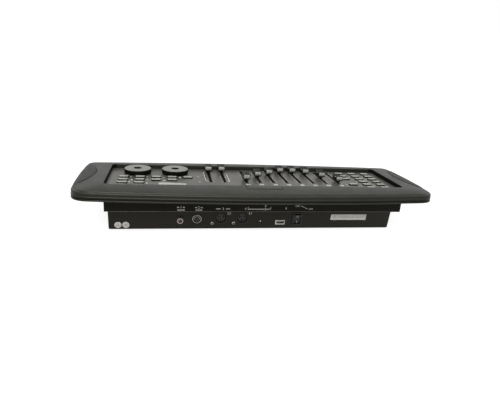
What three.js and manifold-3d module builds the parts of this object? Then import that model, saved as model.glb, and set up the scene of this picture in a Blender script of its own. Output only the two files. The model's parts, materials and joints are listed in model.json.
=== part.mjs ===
// Lighting controller desk: a tilted control panel with ten faders, two jog wheels and
// rows of push buttons, framed by a moulded shell, on a folded steel base that carries
// the sockets and the power switch in its rear wall.
//
// Millimetres. +X is the user's right, +Y the rear, +Z up. The origin is on the table,
// under the middle of the whole desk.
//
// Two frames are used. The base frame stands upright on the underside of the base.
// The panel frame is tilted with the panel: x across, u along it towards the rear and
// w square to it, with w = 0 on the panel's face.

import * as THREE from 'three';
import { mergeVertices } from 'three/addons/utils/BufferGeometryUtils.js';
import Module from 'manifold-3d';

const wasm = await Module();
wasm.setup();

// Sheet, gaps and roundness
const sheet = 1.2;
const restGap = 0.3;
const slideGap = 0.4;
const overrun = 1;
const roundSides = 24;
const smallSides = 12;

// Panel plane
const panelTilt = THREE.MathUtils.degToRad(6.1);
const panelHeight = 62;

// Window of the shell over the panel
const windowHalfWidth = 215.2;
const windowRear = 77.5;
const windowFront = 29.5;
const windowCorner = 6;
const windowChamfer = 0.8;
const collarWall = 3;

// Moulded shell round the window, and how far it reaches out from it
const shellSideReach = 41.8;
const shellRearReach = 37;
const shellFrontReach = 34.5;
const shellSideBow = 2;
const shellRearBow = 8.5;
const shellFrontBow = 7;
const shellRearCorner = 25;
const shellFrontCorner = 14;
const shellWall = 2.6;
const shellCrest = 5.5;
const shellDrop = 3.5;
const rimRound = 2;
const bandHeight = 6.2;
const grooveDepth = 1;
const grooveHeight = 1.6;
const grooveSlope = 0.2;
const lipHeight = 3;
const lipBulge = 0.4;
const ribThickness = 2;

// Grip pads at both ends of the shell
const gripRise = 0.7;
const gripRadius = 86;
const gripInset = 18.8;
const gripMidShare = 0.42523;

// Steel panel case: the control panel and its four flanges
const caseSideLap = 0.5;
const caseRearLap = 2.1;
const caseFrontLap = 19.5;
const caseFlange = 32.4;

// Steel base
const baseRear = 61;
const baseCorner = 2.2;
const shelfDepth = 23;

// Rubber feet
const footHeight = 4;
const footRadius = 7.5;
const footDraft = 1;
const footInset = 20;

// Places on the panel: shares of the window's half width from its middle, and shares of
// the window's length from its front edge

// Faders
const faderTravel = 60;
const faderMidShare = 0.36916;
const faderPitchShare = 0.09619;
const firstFaderShare = -0.59851;
const speedFaderShare = 0.22537;
const leverLength = 3;
const leverThickness = 1.2;
const leverGap = 0.5;
const capLength = 16;
const capWidth = 11;
const capHeight = 7.5;
const capLift = 3.5;
const capRidge = 3.6;
const capValley = 2.8;
const capBevel = 0.6;
const neckLift = 0.8;
const neckLength = 9;
const neckWidth = 6;

// Jog wheels
const wheelRadiusShare = 0.18551;
const wheelShare = 0.23832;
const rightWheelShare = 0.81784;
const leftWheelShare = 0.56041;
const wheelLift = 0.9;
const wheelHeight = 6.7;
const wheelRibs = 36;
const wheelRibDepth = 0.7;
const wheelCapRise = 1.2;
const dimpleRadius = 5;
const dimpleDepth = 1.6;
const shaftRadius = 3;
const shaftDepth = 8;
const shaftGap = 0.15;

// Push buttons
const buttonWidth = 13;
const buttonLength = 7.5;
const buttonRise = 1.3;
const buttonCorner = 1.2;
const buttonBevel = 0.4;
const buttonTravel = 0.8;
const buttonFlange = 1;
const buttonStem = 4;
const keyPitchAcrossShare = 0.10688;
const keyPitchAlongShare = 0.13645;
const firstKeyAcrossShare = 0.90242;
const firstKeyAlongShare = 0.46729;
const fixturePitchAcrossShare = 0.10502;
const fixturePitchAlongShare = 0.14393;
const firstFixtureAcrossShare = -0.90706;
const firstFixtureAlongShare = 0.12617;

// Display
const displayAcrossShare = 0.58086;
const displayAlongShare = 0.80841;
const displayWidth = 39;
const displayLength = 17;
const displayRise = 0.4;
const displayBezel = 3;
const displayDepth = 8;

// Main circuit board under the panel
const boardThickness = 1.6;
const boardDepth = 16.4;
const boardSideGap = 4.2;
const boardRearGap = 3.5;
const boardFrontGap = 8;
const boardPostRadius = 2.5;
const boardPostInset = 4;
const boardPostMidShare = 0.1487;
const potEnd = 7.5;
const potWidth = 9;
const potHeight = 9.4;
const potFloor = 2;
const switchSize = 6;
const switchHeight = 4.3;
const encoderSize = 12;
const encoderHeight = 6.5;
const bushWall = 1.2;

// Rear connectors: places as shares of the base's half width, and heights over its underside
const rcaShare = 0.53106;
const rcaZ = 14.5;
const rcaRadius = 4.75;
const rcaReach = 4;
const rcaBore = 1.7;
const rcaCollar = 6;
const rcaCollarThickness = 1.2;
const midiShare = 0.41803;
const midiZ = 16;
const midiRadius = 7.4;
const midiRecess = 1.5;
const midiRingWall = 0.8;
const midiPinRadius = 0.9;
const midiPinCircle = 3.8;
const midiPins = 5;
const midiNoseRadius = 5.7;
const midiGrooveDepth = 6;
const xlrShares = [0.25455, 0.10603];
const xlrZ = 17.7;
const xlrRadius = 9.5;
const xlrRingWall = 1.3;
const xlrRecess = 1.2;
const xlrPinRadius = 1.5;
const xlrPinCircle = 4.4;
const xlrPins = 3;
const xlrNoseRadius = 6.9;
const xlrGrooveDepth = 9;
const xlrDepth = 20;
const connectorReach = 0.6;
const dcShare = -0.02756;
const dcZ = 11.4;
const dcRadius = 4;
const dcBore = 2.9;
const dcPinRadius = 1;
const usbShare = -0.16908;
const usbZ = 10.4;
const usbWidth = 13.1;
const usbHeight = 5.7;
const usbWall = 0.5;
const usbFlare = 0.8;
const usbTongue = 1.8;
const jackDepth = 14;
const jackBlock = 9;

// Board that the rear connectors stand on
const jackBoardLift = 4.2;
const jackBoardMargin = 3;
const jackBoardDepth = 25.5;
const jackBoardPostInset = 4;

// Rocker switch
const rockerShare = -0.29052;
const rockerZ = 16.3;
const rockerFrameWidth = 15;
const rockerFrameHeight = 21;
const rockerFrameReach = 1.4;
const rockerFrameWall = 1.8;
const rockerBodyDepth = 16;
const rockerTurn = THREE.MathUtils.degToRad(18);
const rockerReach = 2.6;
const rockerDepth = 5;
const rockerTaper = 0.8;
const rockerPivotDepth = 2.4;

// Sizes that follow from the ones above
const shellHalfWidth = windowHalfWidth + shellSideReach;
const shellRear = windowRear + shellRearReach;
const shellFront = windowFront + shellFrontReach;
const gripInnerX = windowHalfWidth + gripInset;
const caseHalfWidth = windowHalfWidth + caseSideLap;
const caseRear = windowRear + caseRearLap;
const caseFront = windowFront + caseFrontLap;
const baseHalfWidth = caseHalfWidth - sheet - slideGap;
const shellRim = shellCrest - shellDrop;
const bandTop = shellRim - rimRound;
const rimRoundMid = rimRound * (1 - Math.SQRT1_2);
const bandBottom = shellRim - bandHeight;
const lipTop = bandBottom - grooveHeight - grooveDepth;
const lipBottom = lipTop - lipHeight + grooveDepth;
const slotLength = faderTravel + leverLength + leverGap + leverGap;
const slotWidth = leverThickness + leverGap + leverGap;
const boardHalfWidth = windowHalfWidth - boardSideGap;
const boardRear = windowRear - boardRearGap;
const boardFront = caseFront - boardFrontGap;
const potLength = faderTravel + 2 * potEnd;
const boardTop = -boardDepth;
const boardUnder = boardTop - boardThickness;
const switchTop = boardTop + switchHeight;
const leverFoot = boardTop + potFloor + leverGap;
const jackBoardTop = jackBoardLift + boardThickness;
const rearInside = baseRear - sheet;

// From the panel frame to the upright base frame, and back
const uprightY = (u, w) => u * Math.cos(panelTilt) - w * Math.sin(panelTilt);
const panelU = (y, w) => (y + w * Math.sin(panelTilt)) / Math.cos(panelTilt);

// The front wall of the base stands just inside the case's front flange
const baseFront = -uprightY(sheet - caseFront, -caseFlange) - slideGap;

// Places across and along the window
const windowLength = windowRear + windowFront;
const across = (share) => share * windowHalfWidth;
const along = (share) => share * windowLength - windowFront;
const gripMidU = along(gripMidShare);
const faderMidU = along(faderMidShare);
const wheelU = along(wheelShare);
const wheelRadius = wheelRadiusShare * windowLength;
const displayX = across(displayAcrossShare);
const displayU = along(displayAlongShare);
const boardPostX = boardHalfWidth - boardPostInset;
const boardPostMidX = across(boardPostMidShare);

// Places across the rear wall
const rcaX = rcaShare * baseHalfWidth;
const midiX = midiShare * baseHalfWidth;
const xlrX = xlrShares.map((share) => share * baseHalfWidth);
const dcX = dcShare * baseHalfWidth;
const usbX = usbShare * baseHalfWidth;
const rockerX = rockerShare * baseHalfWidth;

// Places of the controls on the panel
const mainFaderRestShares = [0.865, 0.493, 0.172, 0.085, 0.095, 0.312, 0.53, 0.845];
const speedFaderRestShares = [0.062, 0.088];
const fixtureColumnRows = [[0, 1, 2, 3, 4, 5], [0, 1, 2, 3, 4, 5], [0, 1, 2, 4]];
const keyColumnRows = [[0, 1, 2, 3], [0, 1, 2, 3], [0, 1], [0, 1], [0]];

const faders = [
  ...mainFaderRestShares.map((share, i) => ({
    name: `fader_cap_${i + 1}`,
    x: across(firstFaderShare + i * faderPitchShare),
    rest: faderMidU + (share - 0.5) * faderTravel,
  })),
  ...speedFaderRestShares.map((share, i) => ({
    name: ['speed_fader_cap', 'fade_fader_cap'][i],
    x: across(speedFaderShare + i * faderPitchShare),
    rest: faderMidU + (share - 0.5) * faderTravel,
  })),
];

function buttonGrid(name, columnRows, firstAcross, pitchAcross, firstAlong, pitchAlong) {
  const places = columnRows.flatMap((rows, column) => rows.map((row) => ({
    x: across(firstAcross + column * pitchAcross),
    u: along(firstAlong + row * pitchAlong),
  })));
  return places.map((place, i) => ({ name: `${name}_${i + 1}`, ...place }));
}

const sceneAcrossShare = firstFixtureAcrossShare + 2 * fixturePitchAcrossShare;
const fixtureAlong = [firstFixtureAlongShare, fixturePitchAlongShare];
const keyAlong = [firstKeyAlongShare, keyPitchAlongShare];

const buttons = [
  ...buttonGrid('fixture_button', fixtureColumnRows.slice(0, 2),
    firstFixtureAcrossShare, fixturePitchAcrossShare, ...fixtureAlong),
  ...buttonGrid('scene_button', fixtureColumnRows.slice(2),
    sceneAcrossShare, fixturePitchAcrossShare, ...fixtureAlong),
  ...buttonGrid('function_button', keyColumnRows,
    firstKeyAcrossShare, -keyPitchAcrossShare, ...keyAlong),
];

const wheels = [
  { name: 'pan_jog_wheel', x: across(leftWheelShare) },
  { name: 'tilt_jog_wheel', x: across(rightWheelShare) },
];

// Solids and geometries
function solid(geometry) {
  const bare = geometry.clone();
  bare.deleteAttribute('normal');
  bare.deleteAttribute('uv');
  const welded = mergeVertices(bare);
  return new wasm.Manifold(new wasm.Mesh({
    numProp: 3,
    vertProperties: new Float32Array(welded.attributes.position.array),
    triVerts: new Uint32Array(welded.index.array),
  }));
}

function geometryOf(body) {
  const mesh = body.getMesh();
  const geometry = new THREE.BufferGeometry();
  geometry.setAttribute('position', new THREE.BufferAttribute(mesh.vertProperties, 3));
  geometry.setIndex(new THREE.BufferAttribute(mesh.triVerts, 1));
  geometry.computeVertexNormals();
  return geometry;
}

const joined = (bodies) => bodies.reduce((whole, body) => whole.add(body));

// A box given by its low and high sides along each axis
function block(x, y, z) {
  const box = new THREE.BoxGeometry(x[1] - x[0], y[1] - y[0], z[1] - z[0]);
  box.translate((x[0] + x[1]) / 2, (y[0] + y[1]) / 2, (z[0] + z[1]) / 2);
  return solid(box);
}

// The low and high side of a size set about a middle
const about = (middle, size) => [middle - size / 2, middle + size / 2];

// A box in the panel frame, turned and lifted into the base frame
function tiltedBlock(x, u, w) {
  const box = new THREE.BoxGeometry(x[1] - x[0], u[1] - u[0], w[1] - w[0]);
  box.translate((x[0] + x[1]) / 2, (u[0] + u[1]) / 2, (w[0] + w[1]) / 2);
  box.rotateX(panelTilt);
  box.translate(0, 0, panelHeight);
  return solid(box);
}

// A round post along the third axis
function post(x, y, z, radius, sides = roundSides) {
  const round = new THREE.CylinderGeometry(radius, radius, z[1] - z[0], sides);
  round.rotateX(Math.PI / 2);
  round.translate(x, y, (z[0] + z[1]) / 2);
  return solid(round);
}

// A round barrel along the front-to-rear axis
function barrel(x, z, y, radius, sides = roundSides) {
  const round = new THREE.CylinderGeometry(radius, radius, y[1] - y[0], sides);
  round.translate(x, (y[0] + y[1]) / 2, z);
  return solid(round);
}

// The ring-shaped moulded shell is lofted through closed outlines.
// Every outline has the same number of points, counted counter-clockwise from the
// rear end of the right side.
const cornerSteps = 6;
const longEdgeSteps = 8;
const shortEdgeSteps = 4;

function outline({ halfWidth, rear, front, sideBow, rearBow, frontBow, rearCorner, frontCorner }) {
  const sideX = halfWidth - sideBow;
  const rearU = rear - rearBow;
  const frontU = frontBow - front;
  const rearX = sideX - rearCorner;
  const frontX = sideX - frontCorner;
  const sideRearU = rearU - rearCorner;
  const sideFrontU = frontU + frontCorner;
  const rearSlope = 2 * rearBow / rearX;
  const frontSlope = 2 * frontBow / frontX;
  const sideSlope = 4 * sideBow / (sideRearU - sideFrontU);
  const rearKnee = [sideX - sideSlope * rearCorner, rearU - rearSlope * rearCorner];
  const frontKnee = [sideX - sideSlope * frontCorner, frontU + frontSlope * frontCorner];
  const sideMid = [sideX + 2 * sideBow, (sideRearU + sideFrontU) / 2];
  const legs = [
    [[sideX, sideRearU], rearKnee, [rearX, rearU], cornerSteps],
    [[rearX, rearU], [0, rearU + 2 * rearBow], [-rearX, rearU], longEdgeSteps],
    [[-rearX, rearU], [-rearKnee[0], rearKnee[1]], [-sideX, sideRearU], cornerSteps],
    [[-sideX, sideRearU], [-sideMid[0], sideMid[1]], [-sideX, sideFrontU], shortEdgeSteps],
    [[-sideX, sideFrontU], [-frontKnee[0], frontKnee[1]], [-frontX, frontU], cornerSteps],
    [[-frontX, frontU], [0, frontU - 2 * frontBow], [frontX, frontU], longEdgeSteps],
    [[frontX, frontU], frontKnee, [sideX, sideFrontU], cornerSteps],
    [[sideX, sideFrontU], sideMid, [sideX, sideRearU], shortEdgeSteps],
  ];
  return legs.flatMap(([start, control, end, steps]) => {
    const points = [start, control, end].map(([x, u]) => new THREE.Vector2(x, u));
    return new THREE.QuadraticBezierCurve(...points).getPoints(steps).slice(0, steps);
  });
}

const shellOutline = (inset) => outline({
  halfWidth: shellHalfWidth - inset,
  rear: shellRear - inset,
  front: shellFront - inset,
  sideBow: shellSideBow,
  rearBow: shellRearBow,
  frontBow: shellFrontBow,
  rearCorner: shellRearCorner - inset,
  frontCorner: shellFrontCorner - inset,
});

const windowOutline = (growth) => outline({
  halfWidth: windowHalfWidth + growth,
  rear: windowRear + growth,
  front: windowFront + growth,
  sideBow: 0,
  rearBow: 0,
  frontBow: 0,
  rearCorner: windowCorner + growth,
  frontCorner: windowCorner + growth,
});

const level = (points, w) => points.map((point) => new THREE.Vector3(point.x, point.y, w));

const between = (inner, outer, share) => inner.map((point, i) => point.clone().lerp(outer[i], share));

// A closed loop of rings, each a closed loop of points: rings run up the window's wall,
// out over the top and down the outside
function ringLoft(rings) {
  const count = rings[0].length;
  const positions = rings.flat().flatMap((point) => point.toArray());
  const indices = [];
  rings.forEach((_, j) => {
    const next = (j + 1) % rings.length;
    for (let i = 0; i < count; i += 1) {
      const a = j * count + i;
      const b = next * count + i;
      const c = next * count + (i + 1) % count;
      const d = j * count + (i + 1) % count;
      indices.push(a, b, c, a, c, d);
    }
  });
  const geometry = new THREE.BufferGeometry();
  geometry.setAttribute('position', new THREE.Float32BufferAttribute(positions, 3));
  geometry.setIndex(indices);
  return solid(geometry);
}

const topShares = [0.3, 0.55, 0.8];

// Height of the shell's top face: highest at the window, falling faster and faster outwards
const topHeight = (share) => shellCrest - shellDrop * share * share;

function shellSkin(rise) {
  const inner = windowOutline(windowChamfer);
  const outer = shellOutline(rimRound);
  return ringLoft([
    level(windowOutline(collarWall + overrun), restGap),
    level(windowOutline(0), restGap),
    level(windowOutline(0), shellCrest - windowChamfer + rise),
    level(inner, shellCrest + rise),
    ...topShares.map((share) => level(between(inner, outer, share), topHeight(share) + rise)),
    level(outer, shellRim + rise),
    level(shellOutline(rimRoundMid), shellRim - rimRoundMid),
    level(shellOutline(0), bandTop),
    level(shellOutline(0), bandBottom),
    level(shellOutline(grooveDepth), bandBottom - grooveSlope),
    level(shellOutline(grooveDepth), bandBottom - grooveHeight),
    level(shellOutline(-lipBulge), lipTop),
    level(shellOutline(0), lipBottom),
    level(shellOutline(shellWall), lipBottom),
  ]);
}

function shellHollow() {
  const inner = windowOutline(collarWall);
  const outer = shellOutline(rimRound + shellWall);
  const under = lipBottom - overrun;
  const ceiling = (share) => level(between(inner, outer, share), topHeight(share) - shellWall);
  return ringLoft([
    level(inner, under),
    ceiling(0),
    ...topShares.map(ceiling),
    level(outer, shellRim - shellWall - rimRound),
    level(shellOutline(grooveDepth + shellWall), bandBottom),
    level(shellOutline(grooveDepth + shellWall), under),
  ]);
}

const ribEndShares = [0.12, 0.5, 0.88];
const ribRearShares = [0.08, 0.36, 0.64, 0.92];

// Stiffening ribs across the hollow at both ends and along the rear
function shellRibs() {
  const heights = [lipBottom - overrun, shellCrest + overrun];
  const ends = ribEndShares.flatMap((share) => {
    const u = about(THREE.MathUtils.lerp(-windowFront, windowRear, share), ribThickness);
    const reach = [windowHalfWidth + collarWall / 2, shellHalfWidth - shellSideBow - shellWall];
    return [block(reach, u, heights), block([-reach[1], -reach[0]], u, heights)];
  });
  const rears = ribRearShares.map((share) => {
    const x = about(THREE.MathUtils.lerp(-windowHalfWidth, windowHalfWidth, share), ribThickness);
    return block(x, [windowRear + collarWall / 2, shellRear - shellRearBow - shellWall], heights);
  });
  return joined([...ends, ...rears]);
}

function topShell() {
  const skin = shellSkin(0);
  const ribs = shellRibs().intersect(skin);
  const heights = [shellRim - overrun, shellCrest + gripRise + overrun];
  const gripX = gripInnerX + gripRadius;
  const gripSides = 4 * roundSides;
  const zones = joined([gripX, -gripX].map((x) => post(x, gripMidU, heights, gripRadius, gripSides)));
  const grips = shellSkin(gripRise).intersect(zones);
  return skin.add(grips).subtract(shellHollow()).add(ribs);
}

// The steel case: its face is the control panel, with a window for each control
function controlPanel() {
  const face = block([-caseHalfWidth, caseHalfWidth], [-caseFront, caseRear], [-caseFlange, 0]);
  const room = block(
    [sheet - caseHalfWidth, caseHalfWidth - sheet],
    [sheet - caseFront, caseRear - sheet],
    [-caseFlange - overrun, -sheet],
  );
  const through = [-sheet - overrun, overrun];
  const slots = faders.map(({ x }) => block(about(x, slotWidth), about(faderMidU, slotLength), through));
  const keys = buttons.map(({ x, u }) => block(
    about(x, buttonWidth + 2 * slideGap),
    about(u, buttonLength + 2 * slideGap),
    through,
  ));
  const shafts = wheels.map(({ x }) => post(x, wheelU, through, shaftRadius + bushWall + slideGap));
  const display = block(
    about(displayX, displayWidth + 2 * restGap),
    about(displayU, displayLength + 2 * restGap),
    through,
  );
  return face.subtract(room).subtract(joined([...slots, ...keys, ...shafts, display]));
}

// Hole outlines in the base's rear wall
function rearHoles() {
  const through = [rearInside - overrun, baseRear + overrun];
  const round = (x, z, radius) => barrel(x, z, through, radius + restGap);
  const square = (x, z, width, height) => block(about(x, width + 2 * restGap), through,
    about(z, height + 2 * restGap));
  return joined([
    round(rcaX, rcaZ, rcaRadius),
    round(midiX, midiZ, midiRadius),
    ...xlrX.map((x) => round(x, xlrZ, xlrRadius)),
    round(dcX, dcZ, dcRadius),
    square(usbX, usbZ, usbWidth, usbHeight),
    square(rockerX, rockerZ, rockerFrameWidth - rockerFrameWall, rockerFrameHeight - rockerFrameWall),
  ]);
}

// A trough across the desk, open at the top, with rounded lower corners
function trough(halfWidth, low, corner, frontY, rearY) {
  const high = panelHeight + caseRear;
  const section = new THREE.Shape();
  section.moveTo(-halfWidth, high);
  section.lineTo(-halfWidth, low + corner);
  section.quadraticCurveTo(-halfWidth, low, corner - halfWidth, low);
  section.lineTo(halfWidth - corner, low);
  section.quadraticCurveTo(halfWidth, low, halfWidth, low + corner);
  section.lineTo(halfWidth, high);
  const depth = rearY - frontY;
  const geometry = new THREE.ExtrudeGeometry(section, { depth, bevelEnabled: false, curveSegments: 4 });
  geometry.rotateX(Math.PI / 2);
  geometry.translate(0, rearY, 0);
  return solid(geometry);
}

// The base: floor, two sides, a front wall inside the case, and a rear wall that folds
// out at its top into a shelf under the case's rear edge
function basePan() {
  const outer = trough(baseHalfWidth, 0, baseCorner, -baseFront, baseRear);
  const inner = trough(baseHalfWidth - sheet, sheet, baseCorner - sheet, sheet - baseFront, rearInside);
  const roof = panelHeight + caseRear;
  const wide = [-baseHalfWidth - overrun, baseHalfWidth + overrun];
  const above = tiltedBlock(wide, [-caseFront - overrun, caseRear], [-sheet - restGap, roof]);
  const shelfStart = panelU(baseRear - sheet / 2, -shelfDepth);
  const cleared = tiltedBlock(
    [sheet - baseHalfWidth, baseHalfWidth - sheet],
    [shelfStart - shelfDepth / 2, caseRear],
    [-shelfDepth, roof],
  );
  const shelf = tiltedBlock(
    [-baseHalfWidth, baseHalfWidth],
    [shelfStart, caseRear - sheet - restGap],
    [-shelfDepth - sheet, -shelfDepth],
  );
  return outer.subtract(inner).subtract(above).subtract(cleared).add(shelf).subtract(rearHoles());
}

// One slide potentiometer with the slot that its lever runs in
function slidePot(x) {
  const top = boardTop + potHeight;
  const body = block(about(x, potWidth), about(faderMidU, potLength), [boardUnder, top]);
  const run = about(faderMidU, slotLength);
  return body.subtract(block(about(x, slotWidth), run, [boardTop + potFloor, top + overrun]));
}

// The main board: circuit board, slide potentiometers, key switches, encoders with
// their bushes, and posts up to the panel
function mainBoard() {
  const board = block([-boardHalfWidth, boardHalfWidth], [-boardFront, boardRear], [boardUnder, boardTop]);
  const pots = faders.map(({ x }) => slidePot(x));
  const switches = buttons.map(({ x, u }) => block(about(x, switchSize), about(u, switchSize),
    [boardUnder, switchTop]));
  const encoders = wheels.map(({ x }) => {
    const body = block(about(x, encoderSize), about(wheelU, encoderSize),
      [boardUnder, boardTop + encoderHeight]);
    const bush = post(x, wheelU, [boardUnder, -sheet], shaftRadius + bushWall);
    const bore = post(x, wheelU, [-shaftDepth - restGap, overrun], shaftRadius + shaftGap);
    return body.add(bush).subtract(bore);
  });
  const postRows = [boardRear - boardPostInset, boardPostInset - boardFront];
  const posts = [-boardPostX, boardPostMidX, boardPostX].flatMap((x) => postRows.map((u) => post(x, u,
    [boardUnder, -sheet - restGap], boardPostRadius, smallSides)));
  return board.add(joined([...pots, ...switches, ...encoders, ...posts]));
}

// The display: a clear window that fills its cut-out, on a module under the panel
function displayModule() {
  const glass = block(about(displayX, displayWidth), about(displayU, displayLength),
    [-sheet - displayBezel, displayRise]);
  const moduleTop = -sheet - restGap;
  const module = block(
    about(displayX, displayWidth + 2 * displayBezel),
    about(displayU, displayLength + 2 * displayBezel),
    [moduleTop - displayDepth, moduleTop],
  );
  const pinRow = block(about(displayX, displayWidth / 2), about(displayU, displayBezel),
    [boardTop + restGap, moduleTop - displayDepth / 2]);
  return joined([glass, module, pinRow]);
}

// Side view of a fader cap: two rounded ridges with a finger valley between them
function capProfile() {
  const half = capLength / 2;
  const top = capHeight;
  const ridgeIn = half - capRidge;
  const valley = top - capValley;
  const profile = new THREE.Shape();
  profile.moveTo(-half, 0);
  profile.lineTo(half, 0);
  profile.lineTo(half, top - capRidge / 2);
  profile.quadraticCurveTo(half, top, half - capRidge / 2, top);
  profile.quadraticCurveTo(ridgeIn, top, ridgeIn, top - capValley / 2);
  profile.quadraticCurveTo(ridgeIn, valley, ridgeIn - capValley / 2, valley);
  profile.lineTo(capValley / 2 - ridgeIn, valley);
  profile.quadraticCurveTo(-ridgeIn, valley, -ridgeIn, top - capValley / 2);
  profile.quadraticCurveTo(-ridgeIn, top, capRidge / 2 - half, top);
  profile.quadraticCurveTo(-half, top, -half, top - capRidge / 2);
  return profile;
}

// A fader cap on its neck, with the flat lever that reaches down into the potentiometer.
// Its middle is at the zero of its own x and u.
function faderCap() {
  const geometry = new THREE.ExtrudeGeometry(capProfile(), {
    depth: capWidth - 2 * capBevel,
    bevelThickness: capBevel,
    bevelSize: capBevel,
    bevelOffset: -capBevel,
    bevelSegments: 1,
    curveSegments: 3,
  });
  geometry.translate(0, 0, capBevel - capWidth / 2);
  geometry.rotateX(Math.PI / 2);
  geometry.rotateZ(Math.PI / 2);
  geometry.translate(0, 0, capLift);
  const neck = block(about(0, neckWidth), about(0, neckLength), [neckLift, capLift + capBevel]);
  const lever = block(about(0, leverThickness), about(0, leverLength), [leverFoot, capLift]);
  return joined([solid(geometry), neck, lever]);
}

// A jog wheel: ribbed rim, smooth raised face with a finger dimple, and its shaft.
// Its axis is the zero of its own x and u.
function jogWheel() {
  const rimTop = wheelLift + wheelHeight - wheelCapRise;
  const rim = new THREE.Shape();
  for (let i = 0; i < 2 * wheelRibs; i += 1) {
    const angle = i * Math.PI / wheelRibs;
    const radius = i % 2 ? wheelRadius - wheelRibDepth : wheelRadius;
    const step = i ? 'lineTo' : 'moveTo';
    rim[step](radius * Math.cos(angle), radius * Math.sin(angle));
  }
  const skirt = new THREE.ExtrudeGeometry(rim, { depth: rimTop - wheelLift, bevelEnabled: false });
  skirt.translate(0, 0, wheelLift);
  const top = wheelLift + wheelHeight;
  const faceRadius = wheelRadius - wheelRibDepth;
  const face = new THREE.CylinderGeometry(faceRadius - wheelCapRise / 2, faceRadius,
    wheelCapRise + wheelLift, 2 * roundSides);
  face.rotateX(Math.PI / 2);
  face.translate(0, 0, top - (wheelCapRise + wheelLift) / 2);
  const ballRadius = (dimpleRadius * dimpleRadius + dimpleDepth * dimpleDepth) / (2 * dimpleDepth);
  const ball = new THREE.SphereGeometry(ballRadius, roundSides, roundSides);
  ball.rotateX(Math.PI / 2);
  ball.translate(0, 0, top + ballRadius - dimpleDepth);
  const shaft = post(0, 0, [-shaftDepth, rimTop], shaftRadius);
  return joined([solid(skirt), solid(face), shaft]).subtract(solid(ball));
}

// A push button: cap through the panel, retaining flange under it, and a stem that ends
// just over its switch. Its middle is at the zero of its own x and u.
function pushButton() {
  const halfX = buttonWidth / 2 - buttonBevel;
  const halfU = buttonLength / 2 - buttonBevel;
  const edge = new THREE.Shape();
  edge.moveTo(buttonCorner - halfX, -halfU);
  edge.lineTo(halfX - buttonCorner, -halfU);
  edge.lineTo(halfX, buttonCorner - halfU);
  edge.lineTo(halfX, halfU - buttonCorner);
  edge.lineTo(halfX - buttonCorner, halfU);
  edge.lineTo(buttonCorner - halfX, halfU);
  edge.lineTo(-halfX, halfU - buttonCorner);
  edge.lineTo(-halfX, buttonCorner - halfU);
  const flangeTop = -sheet - restGap;
  const flangeUnder = flangeTop - buttonFlange;
  const cap = new THREE.ExtrudeGeometry(edge, {
    depth: buttonRise - flangeUnder - buttonBevel,
    bevelThickness: buttonBevel,
    bevelSize: buttonBevel,
    bevelSegments: 1,
  });
  cap.translate(0, 0, flangeUnder);
  const flange = block(
    about(0, buttonWidth + 2 * buttonFlange),
    about(0, buttonLength + 2 * buttonFlange),
    [flangeUnder - buttonBevel, flangeTop],
  );
  const stemFoot = switchTop + buttonTravel + leverGap / 2;
  const stem = block(about(0, buttonStem), about(0, buttonStem), [stemFoot, flangeTop]);
  return joined([solid(cap), flange, stem]);
}

// Block that carries a connector down to the jack board
const jackFoot = (x, z, width, depth) => block(about(x, width), [rearInside - restGap - depth,
  rearInside - restGap], [jackBoardTop + restGap, z]);

// Pin holes on a circle, seen from behind the desk
function pinHoles(x, z, circle, radius, angles, depth) {
  return joined(angles.map((angle) => barrel(
    x + circle * Math.cos(angle),
    z + circle * Math.sin(angle),
    [baseRear - depth, baseRear + overrun],
    radius,
    smallSides,
  )));
}

// The round groove between a socket's nose and its outer ring
function noseGroove(x, z, outer, nose, depth) {
  const reach = [baseRear - depth, baseRear + connectorReach + overrun];
  return barrel(x, z, reach, outer).subtract(barrel(x, z, reach, nose));
}

function rcaJack() {
  const barrelEnd = baseRear + rcaReach;
  const ring = barrel(rcaX, rcaZ, [rearInside - jackDepth, barrelEnd], rcaRadius);
  const collarStart = baseRear + restGap;
  const collar = barrel(rcaX, rcaZ, [collarStart, collarStart + rcaCollarThickness], rcaCollar);
  const bore = barrel(rcaX, rcaZ, [rearInside - jackDepth / 2, barrelEnd + overrun], rcaBore, smallSides);
  return joined([ring, collar, jackFoot(rcaX, rcaZ, jackBlock, jackDepth)]).subtract(bore);
}

function midiSocket() {
  const face = baseRear + connectorReach;
  const ring = barrel(midiX, midiZ, [rearInside - jackDepth, face], midiRadius);
  const dish = barrel(midiX, midiZ, [face - midiRecess, face + overrun], midiRadius - midiRingWall);
  const angles = Array.from({ length: midiPins }, (_, i) => i * Math.PI / (midiPins - 1));
  const holes = pinHoles(midiX, midiZ, midiPinCircle, midiPinRadius, angles, jackDepth / 2);
  const foot = jackFoot(midiX, midiZ, 2 * jackBlock, jackDepth);
  const groove = noseGroove(midiX, midiZ, midiRadius - midiRingWall, midiNoseRadius, midiGrooveDepth);
  return joined([ring, foot]).subtract(dish).subtract(groove).subtract(holes);
}

function xlrSocket(x) {
  const face = baseRear + connectorReach;
  const ring = barrel(x, xlrZ, [rearInside - xlrDepth, face], xlrRadius);
  const dish = barrel(x, xlrZ, [face - xlrRecess, face + overrun], xlrRadius - xlrRingWall);
  const angles = Array.from({ length: xlrPins }, (_, i) => i * 2 * Math.PI / xlrPins - Math.PI / 2);
  const holes = pinHoles(x, xlrZ, xlrPinCircle, xlrPinRadius, angles, jackDepth);
  const foot = jackFoot(x, xlrZ, 2 * jackBlock, xlrDepth);
  const groove = noseGroove(x, xlrZ, xlrRadius - xlrRingWall, xlrNoseRadius, xlrGrooveDepth);
  return joined([ring, foot]).subtract(dish).subtract(groove).subtract(holes);
}

function dcJack() {
  const tube = barrel(dcX, dcZ, [rearInside - jackDepth, baseRear], dcRadius);
  const bore = barrel(dcX, dcZ, [rearInside - jackBlock, baseRear + overrun], dcBore);
  const pin = barrel(dcX, dcZ, [rearInside - jackDepth, rearInside], dcPinRadius, smallSides);
  return joined([tube, jackFoot(dcX, dcZ + dcRadius, jackBlock, jackDepth)]).subtract(bore).add(pin);
}

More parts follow.
